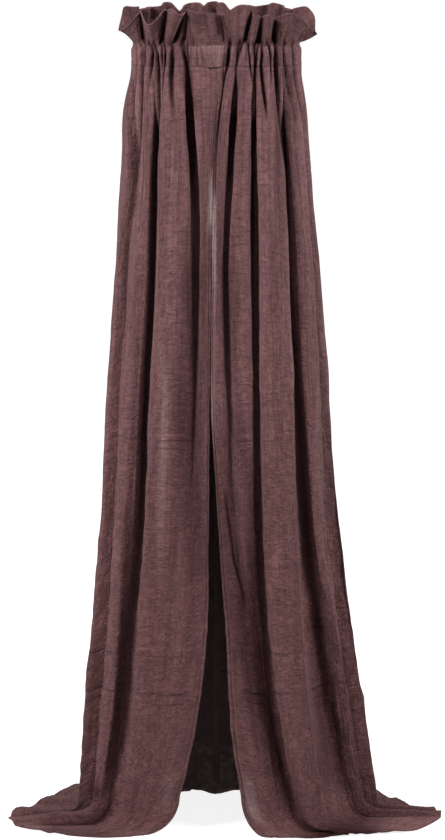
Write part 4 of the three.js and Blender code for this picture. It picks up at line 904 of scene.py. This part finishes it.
# Hard parts: colour, roughness, metal or not, grain along each axis, and the nodes
HARD_PARTS = {
    "Painted_wire": ((0.80, 0.79, 0.76, 1), 0.38, 0, (900, 900, 900), ("left_hoop", "right_hoop")),
    "Sleeve_steel": ((0.56, 0.56, 0.58, 1), 0.34, 1, (90, 2500, 2500), ("front_sleeve",)),
    "Block_plastic": ((0.78, 0.76, 0.72, 1), 0.55, 0, (1600, 1600, 1600), ("rear_block",)),
    "Screw_steel": ((0.5, 0.51, 0.53, 1), 0.36, 1, (2500, 2500, 300),
                    ("left_clamp_screw", "right_clamp_screw")),
}
for material_name, (colour, roughness, metallic, grain, names) in HARD_PARTS.items():
    hard = hard_material(material_name, colour, roughness, metallic, grain)
    for name in names:
        for material_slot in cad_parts[name].material_slots:
            material_slot.material = hard


# Curtains
def steps_down():
    fall = np.linspace(0, 1, FALL_ROWS)
    bend = 1 + np.arange(1, BEND_ROWS + 1) / BEND_ROWS
    train = 2 + np.arange(1, TRAIN_ROWS + 1) / TRAIN_ROWS
    return np.concatenate([fall, bend, train])


def front_line(side, pixels, stands, heights):
    """Turn and lift at each height of a fold line that is given by its pixels in the photograph"""
    levels, turns = [], []
    for row, pixel, stand in zip(LEVEL_ROWS, pixels, stands):
        y = FIRST_DEPTH
        for _ in range(DEPTH_PASSES):
            z, per_pixel = seen_through(row, y)
            height = np.clip(z / PANEL_TOP, 0, 1)
            half_width, depth = level_outline(side, height, False)
            x = side["sign"] * across_at(pixel, per_pixel)
            turn = math.asin(np.clip(x / half_width, -FIRST_SINE, FIRST_SINE)) / math.pi
            for _ in range(TURN_PASSES):
                seen_x, seen_y = outline_point(1, half_width, depth, turn, stand * MM)
                turn += (x - seen_x) / (math.pi * half_width * max(math.cos(turn * math.pi), LEAST_COSINE))
                turn = min(max(turn, FRONT_TURNS[0]), FRONT_TURNS[1])
            y = float(seen_y)
        levels.append(max(z, 0))
        turns.append(turn)
    return (through_levels(levels, turns, heights * PANEL_TOP),
            through_levels(levels, np.array(stands) * MM, heights * PANEL_TOP))


def rest_guides(rest):
    """Guide lines round the side and behind, with one more beside each crest"""
    guides = []
    for k, (turn, lift) in enumerate(rest):
        guides.append((turn, lift))
        if lift[1] > CREST_LEAST and k + 1 < len(rest):
            after = rest[k + 1][0]
            guides.append((tuple(CREST_SHARE * a + (1 - CREST_SHARE) * b for a, b in zip(turn, after)),
                           tuple(CREST_LIFT * a for a in lift)))
    return guides


def curtain_lines(side):
    """Guide lines of a curtain: for each, its points down the rows, and its turn at the seam"""
    steps = steps_down()
    fall = np.clip(1 - steps, 0, 1)
    turned = np.clip(steps - 1, 0, 1) * np.pi / 2
    past = np.clip(steps - 2, 0, 1)
    hem_turns, hem_across, hem_along = np.array(side["hem"]).T
    fronts = len(side["front"])
    lines, seam_turns = [], []
    for index, data in enumerate(side["front"] + rest_guides(side["rest"])):
        in_front = index < fronts
        near_edge = max(0, 1 - index / EDGE_LINES) ** EDGE_POWER if in_front else 0
        radius = BEND_RADIUS + (EDGE_BEND_RADIUS - BEND_RADIUS) * near_edge
        if in_front:
            radius = max(radius, FRONT_BEND_RADIUS)
        height = (radius + fall * (PANEL_TOP - radius)) / PANEL_TOP
        if in_front:
            pixels, stands, ridge = data
            turn, lift = front_line(side, pixels, stands, height)
            first_beyond = through_three(side["rest"][0][0], height)
            turn = np.minimum(turn, first_beyond - LINE_SPACING * (fronts - index))
            ridge = ridge * MM
        else:
            turn = through_three(data[0], height)
            lift = through_three(data[1], height) * through_three(FOLD_DEPTHS, height)
            ridge = max(0, data[1][2]) * RIDGE_HEIGHT
        half_width, depth = level_outline(side, height, turn > 0.5)
        x, y = outline_point(side["sign"], half_width, depth, turn, lift)
        across = np.interp(turn[-1], hem_turns, hem_across)
        along = np.interp(turn[-1], hem_turns, hem_along)
        train = FRONT_TRAIN if along < 0 else BACK_TRAIN
        hem = np.array([side["sign"] * across * side["train"], along * train])
        run = hem - np.array([x[-1], y[-1]])
        length = float(np.hypot(*run))
        bend = min(radius, length)
        out = bend * (1 - np.cos(turned)) + past * (length - bend)
        rise = radius * (1 - np.sin(turned)) + ridge * np.sin(turned) * (1 - RIDGE_LOSS * past)
        z = np.where(steps <= 1, height * PANEL_TOP, FLOOR_REST + rise)
        lines.append(np.stack([x + run[0] / length * out, y + run[1] / length * out, z], 1))
        seam_turns.append(turn[0])
    return np.array(lines), np.array(seam_turns), steps


def curtain_bumps(side, s, t, z, turn, steps, full, drawn):
    """How far each point of a curtain stands out from its guide surface"""
    seed = side["seed"]
    below = np.maximum(PANEL_TOP - z, 0)
    broad = pleats(seed + BROAD_SEED, along_crown(turn), BROAD_PITCH, BROAD_SPREAD) - 0.5
    broad = BROAD_DEPTH * np.exp(-below / BROAD_FADE) * broad * smoothstep(turn, *BEHIND)
    heights, widths = zip(*side["widen"])
    wide = MM * np.interp(z, heights, widths) * np.sin(np.pi * turn) ** SIDE_POWER
    crumpled = bumpy(seed, CRUMPLES, s, t) * (CRUMPLE_LEAST + smoothstep(t, *CRUMPLE_SPAN))
    pooled = (1 - smoothstep(steps, *POOL_STEPS))[:, None] * smoothstep(turn, *POOL_TURNS)
    pooled = pooled * np.exp(-(z / POOL_HEIGHT) ** 2)
    sunk = POOL_DEPTH + POOL_RUMPLE * (0.5 + bumpy(seed, POOL_RUMPLES, s, t))
    return full - drawn + broad + wide + bumpy(seed, RIPPLES, s, t) + crumpled - pooled * sunk


def inner_shade(side, s, t, z, turn, tone):
    """The tone of a curtain's inner side, with painted light: paler behind, and painted streaks where light
    comes through near the floor
    """
    streaks = np.maximum(0, bumpy(side["seed"], INNER_STREAKS, s, t) + STREAK_START)
    lit = smoothstep(turn, *STREAK_TURNS) * (1 - smoothstep(z, *STREAK_HEIGHTS))
    lit = lit * (STREAK_LEAST + STREAK_LIGHT * streaks)
    return np.clip(tone - lit - INNER_PAINTED_LIGHT * smoothstep(turn, *INNER_LIGHT_TURNS), -1, 1)


def curtain(side):
    sign = side["sign"]
    lines, seam_turns, steps = curtain_lines(side)
    lines[-1, :, 0] = sign * SEAM_GAP / 2
    spans = spans_of(lines[:, FALL_ROWS // 2])
    counts = np.maximum(LEAST_COLUMNS, np.ceil(spans / COLUMN_STEP)).astype(int)
    grid = smooth_columns(lines, counts)
    turn = np.interp(np.arange(grid.shape[1]), running(counts), np.maximum.accumulate(seam_turns))[None, :]
    s, t = arc_lengths(grid)
    s, t = s[None, :], t[:, None]
    z = grid[:, :, 2]
    below = np.maximum(PANEL_TOP - z, 0)
    outward = -grid_normals(grid, sign)
    full = np.exp(-(below / WALL_FADE) ** 2) * wall_stand(turn)
    at_seam = np.exp(-(below / SEAM_BLEND) ** 2)[:, :, None]
    on_wall = crown_point(side, turn, wall_stand(turn), z)
    seen_at = (grid + outward * full[:, :, None]) * (1 - at_seam) + on_wall * at_seam
    column, row = photo_place(seen_at[:, :, 0], seen_at[:, :, 1], seen_at[:, :, 2])
    drawn = gathered(side, turn, column, row) * np.exp(-below / GATHER_FADE * smoothstep(turn, *BEHIND))
    bumps = curtain_bumps(side, s, t, z, turn, steps, full, drawn)
    hang = FLOOR_BUMPS + (1 - FLOOR_BUMPS) * np.clip(z / HANG_HEIGHT, 0, 1)
    hung = grid + outward * (bumps * hang)[:, :, None]
    on_crown = crown_point(side, turn, np.maximum(wall_stand(turn) - drawn, INNER_LEAST), z)
    grid = hung * (1 - at_seam) + on_crown * at_seam
    grid[0, :, 2] += GAP
    waves = bumpy(side["seed"], FLOOR_WAVES, s, t, 0) * smoothstep(steps, *FLOOR_STEPS)[:, None]
    grid[:, :, 2] = np.maximum(grid[:, :, 2], FLOOR_REST) + waves
    grid[:, -1, 0] = sign * SEAM_GAP / 2
    edge = np.minimum(s - s.min() + 0 * t, t.max() - t + 0 * s)
    thickness = CLOTH + HEM_ROLL * (1 - smoothstep(edge, *HEM_REACH))
    tone = tone_of(side, turn, column, row, drawn - SHADE_START_SHARE * GATHER_DEPTH)
    inner_tone = inner_shade(side, s, t, grid[:, :, 2], turn, tone)
    return cloth_object(f"{side['name']}_curtain", grid, thickness, sign, gauze, tone, inner_tone), grid


# Header
def turn_at(across):
    return math.asin(across / CROWN_HALF_WIDTH) / math.pi


def from_middle(turn):
    return CROWN_HALF_WIDTH * np.abs(np.sin(turn * np.pi))


def seam_lift(turn):
    """How much higher the seam runs over the sleeve in front and over the block behind"""
    front = SLEEVE_LIFT * (1 - smoothstep(from_middle(turn), *SLEEVE_LIFT_SPAN))
    back = BLOCK_LIFT * (1 - smoothstep(from_middle(turn), *BLOCK_LIFT_SPAN))
    return np.where(turn < 0.5, front, back)


def sleeve_passes(turn):
    """1 where the sleeve may slide along the crown in front, 0 elsewhere"""
    return (1 - smoothstep(from_middle(turn), *SLEEVE_SPAN)) * (turn < 0.5)


def frill_guides(side):
    """Turn at the gather line, hem point and cavity of each guide of the frill, from the front to the back"""
    guides = []
    for base, column, row, lean, cavity in side["frill"]:
        y = -CROWN_HALF_DEPTH
        for _ in range(TURN_PASSES):
            z, per_pixel = seen_through(row, y)
            x = across_at(column, per_pixel)
            share = np.clip(side["sign"] * x / (CROWN_HALF_WIDTH + lean * MM), -MOST_SINE, MOST_SINE)
            y = crown_point(side, math.asin(share) / math.pi, lean * MM, 0)[1]
        guides.append((turn_seen(side, base, GATHER_ROW), x, y, z, cavity * MM))
    for turn, lean, stand in side["waves"] + [(1 - turn_at(GAP / 2), *BACK_WAVE)]:
        hem = crown_point(side, turn, lean * FRILL_FLARE, SEAM_HEIGHT + stand * FRILL_HEIGHT)
        guides.append((turn, *hem, max(0, -lean) * CAVITY_DEPTH))
    return np.array(guides)


def wall_rows(side, turn, neck, lap):
    """Rows of the wall from the lower seam up to the gather line, and their tones"""
    drift = photo_place(*crown_point(side, turn, 0, SEAM_HEIGHT).T)[0] - side["frill"][0][0]
    shift, reach = side["shear"]
    drift = np.exp(-np.abs(drift) / reach) * (1 - smoothstep(turn, *SHEAR_END))
    per_pixel = seen_through(GATHER_ROW, -CROWN_HALF_DEPTH)[1]
    shear = side["sign"] * shift * per_pixel * drift / (np.pi * CROWN_HALF_WIDTH)
    rows, tones = [], []
    for share in np.linspace(0, 1, WALL_ROWS):
        at = turn + shear * (1 - share)
        stand = neck + (wall_stand(at) - neck) * (1 - smoothstep(share, *WALL_TOP_SHARES))
        height = LOWER_SEAM + (SEAM_HEIGHT + seam_lift(at) - LOWER_SEAM) * share
        column, row = photo_place(*crown_point(side, at, stand, height).T)
        drawn = gathered(side, at, column, row)
        nearest = INNER_STAND + SLEEVE_ROOM * sleeve_passes(at)
        by_hoop = np.exp(-((height - crown[2]) / HOOP_CLEARANCE) ** HOOP_POWER)
        stand = np.maximum(stand - drawn - lap, INNER_LEAST + (nearest - INNER_LEAST) * by_hoop)
        rows.append(crown_point(side, at, stand, height))
        tones.append(tone_of(side, at, column, row, drawn - SHADE_START_SHARE * GATHER_DEPTH))
    return rows, tones


def frill_rows(side, turn, length, neck, hem, cavity, low):
    """Rows of the frill from the gather line up to its hem, and their tones, with painted shade and a painted
    highlight along the hem
    """
    seed = side["seed"] + FRILL_SEED
    outward = crown_point(side, turn, 1, 0)[:, :2] - crown_point(side, turn, 0, 0)[:, :2]
    sideways = np.stack([-outward[:, 1], outward[:, 0]], 1)
    base = crown_point(side, turn, neck, SEAM_HEIGHT + seam_lift(turn))
    away = hem - base
    lean, drift = (away[:, :2] * outward).sum(1), (away[:, :2] * sideways).sum(1)
    pinch = ((low - base)[:, :2] * outward).sum(1)
    tall = np.clip((hem[:, 2] - SEAM_HEIGHT - ARCH_START) / ARCH_RISE, ARCH_LEAST, 1)
    arch = ARCH * np.clip(lean / ARCH_LEAN, 0, 1) * tall
    rows, tones = [], []
    for share in np.linspace(0, 1, FRILL_ROWS)[1:]:
        sunk = math.sin(math.pi * min(1, share * (1 - SUNK_START) + SUNK_START)) ** SUNK_POWER
        sunk *= min(1, share / SUNK_RISE)
        flutter = FLUTTER * noise(seed + FLUTTER_SEED, length, share + 0 * length, *FLUTTER_PERIODS)
        radial = (lean * share ** LEAN_POWER + pinch * np.maximum(0, 1 - share / PINCH_END) ** PINCH_POWER
                  + flutter * share)
        ruffle = EDGE_RUFFLE * noise(seed + RUFFLE_SEED, length, 0 * length, *EDGE_RUFFLE_PERIODS)
        height = (base[:, 2] + away[:, 2] * share + arch * math.sin(math.pi * share)
                  + ruffle * share ** EDGE_RUFFLE_POWER)
        place = base[:, :2] + outward * radial[:, None] + sideways * (drift * share ** DRIFT_POWER)[:, None]
        place[:, 1] += cavity * sunk * (1 - smoothstep(turn, *CAVITY_END))
        rows.append(np.concatenate([place, height[:, None]], 1))
        column, row = photo_place(*rows[-1].T)
        hollow = hollows(side, turn, column, GATHER_ROW + 0 * row) * max(0, 1 - share / SEAM_HOLLOW_END)
        # Painted shade from the hollows, over the frill and in its cavities; a painted highlight at the hem
        tone = (tone_of(side, turn, column, row, hollow) + FRILL_PAINTED_SHADE
                + CAVITY_PAINTED_SHADE * np.clip(cavity / DARKEST_CAVITY, 0, 1) * sunk)
        tones.append(np.clip(tone - EDGE_PAINTED_HIGHLIGHT * smoothstep(share, *EDGE_HIGHLIGHT_SHARES), -1, 1))
    return rows, tones


def header(side):
    """The outer wall of the tunnel with the frill above it, laid from the hem down"""
    guides = frill_guides(side)
    hems = guides[:, 1:4]
    counts = np.maximum(LEAST_FRILL_COLUMNS, np.ceil(spans_of(hems) / FRILL_STEP)).astype(int)
    hem = smooth_columns(hems[:, None, :], counts)[0]
    place_along = running(counts)
    turn = np.interp(np.arange(len(hem)), place_along, guides[:, 0])
    cavity = np.interp(np.arange(len(hem)), place_along, guides[:, 4])
    neck = NECK_STAND + FRONT_FULLNESS / 2 * (1 - smoothstep(turn, *NECK_END))
    length = along_crown(turn)
    lap = side["lap"] * MM * (1 - smoothstep(length - length[0], *LAP_SPAN))
    wall, wall_tones = wall_rows(side, turn, neck, lap)
    frill, frill_tones = frill_rows(side, turn, length, neck, hem, cavity, wall[-1])
    grid = np.array((wall + frill)[::-1])
    over = side["back_lap"] * MM
    near_end = 1 - smoothstep(length[-1] - length, *BACK_LAP_SPAN)
    grid[:, :, 1] += over * near_end
    grid[:, :, 0] -= side["sign"] * over * near_end
    grid[:, -1, 0] = side["sign"] * (GAP / 2 - over)
    thickness = np.full((len(grid), 1), CLOTH)
    edge = np.linspace(0, FRILL_HEIGHT, FRILL_ROWS)[:, None]
    thickness[:FRILL_ROWS] += FRILL_ROLL * (1 - smoothstep(edge, *FRILL_ROLL_REACH))
    return cloth_object(f"{side['name']}_ruffle", grid, thickness, side["sign"], gauze,
                        np.array((wall_tones + frill_tones)[::-1]), hem_shift=STITCH_PLACE - TUNNEL_HEIGHT)


def facing(side):
    """Inner wall and closed top of the tunnel, ruched like the outer wall"""
    start = turn_at(side["sign"] * side["facing_start"])
    turn = np.linspace(start, 1 - turn_at(BLOCK_HALF), FACING_COLUMNS)
    length = running(spans_of(crown_point(side, turn, 0, 0)))
    gather = pleats(side["seed"] + FACING_SEED, length, GATHER_PITCH)
    roof = SEAM_HEIGHT + seam_lift(turn) + ROOF_LIFT
    rows = [crown_point(side, turn, offset, roof)
            for offset in np.linspace(ROOF_REACH, -2 * SEAM_REACH, ROOF_ROWS)]
    for share in np.linspace(0, 1, WALL_ROWS):
        bulge = math.sin(math.pi * (BULGE_MARGIN + (1 - 2 * BULGE_MARGIN) * share)) ** BULGE_POWER
        drawn = FACING_GATHER * gather * (FRONT_GATHER_SHARE + (1 - FRONT_GATHER_SHARE) * bulge)
        room = FACING_ROOM * sleeve_passes(turn) * min(1, FACING_ROOM_RISE * share)
        offset = -SEAM_REACH - (WALL_REACH - SEAM_REACH) * bulge - drawn - room
        height = SEAM_HEIGHT + (LOWER_SEAM - SEAM_HEIGHT) * share + seam_lift(turn) * (1 - share)
        rows.append(crown_point(side, turn, offset, height))
    grid = np.array(rows)
    return cloth_object(f"{side['name']}_facing_cloth", grid, CLOTH, side["sign"], gauze,
                        np.zeros(grid.shape[:2]), hem_shift=2 * TUNNEL_HEIGHT)


# Patch in front and tape behind
def patch():
    y = -CROWN_HALF_DEPTH - (WALL_REACH + FRONT_FULLNESS + CLOTH + GAP)
    corners = []
    for column, row in PATCH_CORNERS:
        z, per_pixel = seen_through(row, y)
        corners.append((across_at(column, per_pixel), y, z))
    top_left, top_right, low_left, low_right = np.array(corners)
    across = np.linspace(0, 1, PATCH_COLUMNS)[None, :, None]
    down = np.linspace(0, 1, PATCH_ROWS)[:, None, None]
    grid = ((top_left * (1 - across) + top_right * across) * (1 - down)
            + (low_left * (1 - across) + low_right * across) * down)
    x, z = grid[:, :, 0], grid[:, :, 2]
    drop = smoothstep((z - LOWER_SEAM) / TUNNEL_HEIGHT, *PATCH_TOP_SHARES)
    pleated = PATCH_PLEAT * (pleats(PATCH_PLEAT_SEED, x[0], PATCH_PITCH)[None, :] - 0.5)
    grid[:, :, 1] += (WALL_REACH - NECK_STAND + FRONT_FULLNESS / 2) * drop
    grid[:, :, 1] -= pleated + PATCH_WRINKLE * noise(WRINKLE_SEED, x, z, *WRINKLE_PERIODS)
    edge = np.minimum(np.minimum(across, 1 - across) * PATCH_SIZE[0],
                      np.minimum(down, 1 - down) * PATCH_SIZE[1])[:, :, 0]
    thickness = PATCH_CLOTH + PATCH_ROLL * (1 - smoothstep(edge, *PATCH_ROLL_REACH))
    thread = np.exp(-((down[:, :, 0] - THREAD_SHARE) / THREAD_WIDTH_SHARE) ** 2)
    thread = thread * (0.5 + 0.5 * noise(THREAD_SEED, x, 0 * z, *THREAD_PERIODS))
    tone = PATCH_EDGE_TONE * (1 - smoothstep(edge, *PATCH_EDGE_REACH)) - THREAD_TONE * thread
    return cloth_object("patch_cloth_piece", grid, thickness, 1, patch_cloth, np.clip(tone, -1, 1))


def tape(curtain_grid):
    """A ribbon inside the back seam, just clear of the curtains' edges"""
    edge = curtain_grid[np.linspace(0, FALL_ROWS - 1, TAPE_ROWS).astype(int), -1]
    across = np.linspace(-TAPE_WIDTH / 2, TAPE_WIDTH / 2, TAPE_COLUMNS)[None, :]
    y = edge[:, 1][:, None] - (CLOTH / 2 + GAP + TAPE_CLOTH / 2) - TAPE_STAND
    grid = np.stack(np.broadcast_arrays(across, y, edge[:, 2][:, None]), 2)
    # Paler with painted light, like the inside of the back
    return cloth_object("seam_tape_ribbon", grid, TAPE_CLOTH, -1, tape_cloth,
                        np.full(grid.shape[:2], TAPE_PAINTED_LIGHT))


curtains = {}
for side in (LEFT, RIGHT):
    piece, curtains[side["name"]] = curtain(side)
    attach(piece, "canopy")
    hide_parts(f"{side['name']}_panel")
    frill = header(side)
    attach(frill, "canopy")
    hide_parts(f"{side['name']}_header")
    inner = facing(side)
    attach(inner, "canopy")
    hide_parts(f"{side['name']}_tunnel_facing")

front_patch = patch()
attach(front_patch, "canopy")
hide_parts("front_patch")
seam_tape = tape(curtains["left"])
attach(seam_tape, "canopy")
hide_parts("back_seam_tape")


# Floor, background, lights and camera
def seen_rays(node):
    """1 for the rays that show the background as white, 0 for those that light the object"""
    path = node("ShaderNodeLightPath")
    seen = path.outputs[SEEN_RAYS[0]]
    for name in SEEN_RAYS[1:]:
        seen = maths(node, "MAXIMUM", seen, path.outputs[name])
    return seen


def make_floor():
    material, shader, node, links = new_material("Studio_floor")
    shader.inputs["Base Color"].default_value = (FLOOR_GREY, FLOOR_GREY, FLOOR_GREY, 1)
    shader.inputs["Roughness"].default_value = FLOOR_ROUGHNESS
    shader.inputs["Emission Color"].default_value = (1, 1, 1, 1)
    place = node("ShaderNodeTexCoord").outputs["Object"]
    away = node("ShaderNodeVectorMath", {0: place}, operation="LENGTH").outputs["Value"]
    glow = times(node, seen_rays(node), ramp(node, away, *FLOOR_GLOW_REACH, *FLOOR_GLOWS))
    links.new(glow, shader.inputs["Emission Strength"])
    corners = [(x * FLOOR_HALF, y * FLOOR_HALF, -FLOOR_DROP) for x, y in ((-1, -1), (1, -1), (1, 1), (-1, 1))]
    floor = make_object("studio_floor", corners, [(0, 1, 2, 3)], material)
    floor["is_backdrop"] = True


def make_world():
    world = bpy.data.worlds.new("Studio")
    bpy.context.scene.world = world
    world.use_nodes = True
    world.node_tree.nodes.clear()
    node = node_maker(world.node_tree)
    plain = node("ShaderNodeBackground", {"Color": (1, 1, 1, 1), "Strength": WORLD_STRENGTH})
    white = node("ShaderNodeBackground", {"Color": (1, 1, 1, 1), "Strength": 1})
    mix = node("ShaderNodeMixShader", {0: seen_rays(node), 1: plain.outputs[0], 2: white.outputs[0]})
    node("ShaderNodeOutputWorld", {"Surface": mix.outputs[0]})


def area_light(name, place, target, width, watts):
    data = bpy.data.lights.new(name, "AREA")
    data.shape = "SQUARE"
    data.size = width
    data.energy = watts
    lamp = bpy.data.objects.new(name, data)
    lamp.location = place
    lamp.rotation_euler = (Vector(target) - Vector(place)).to_track_quat("-Z", "Y").to_euler()
    bpy.context.scene.collection.objects.link(lamp)


def make_camera():
    data = bpy.data.cameras.new("Camera")
    data.sensor_fit = "AUTO"
    data.sensor_width = SENSOR_MM
    data.lens = FOCAL_PIXELS * SENSOR_MM / IMAGE_HEIGHT
    data.clip_end = CLIP_END
    camera = bpy.data.objects.new("Camera", data)
    camera.location = (crown[0] + CAMERA_OFFSET, crown[1] - CAMERA_DISTANCE, CAMERA_HEIGHT)
    camera.rotation_euler = (math.pi / 2 - CAMERA_PITCH, 0, 0)
    bpy.context.scene.collection.objects.link(camera)
    bpy.context.scene.camera = camera


make_floor()
make_world()
for light_name, settings in LIGHTS.items():
    area_light(light_name, *settings)
make_camera()
bpy.context.scene.view_settings.view_transform = "Standard"

({"cad": [list(map(float, corner)) for corner in cad_bounds],
           "visual": [list(map(float, corner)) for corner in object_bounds()]})
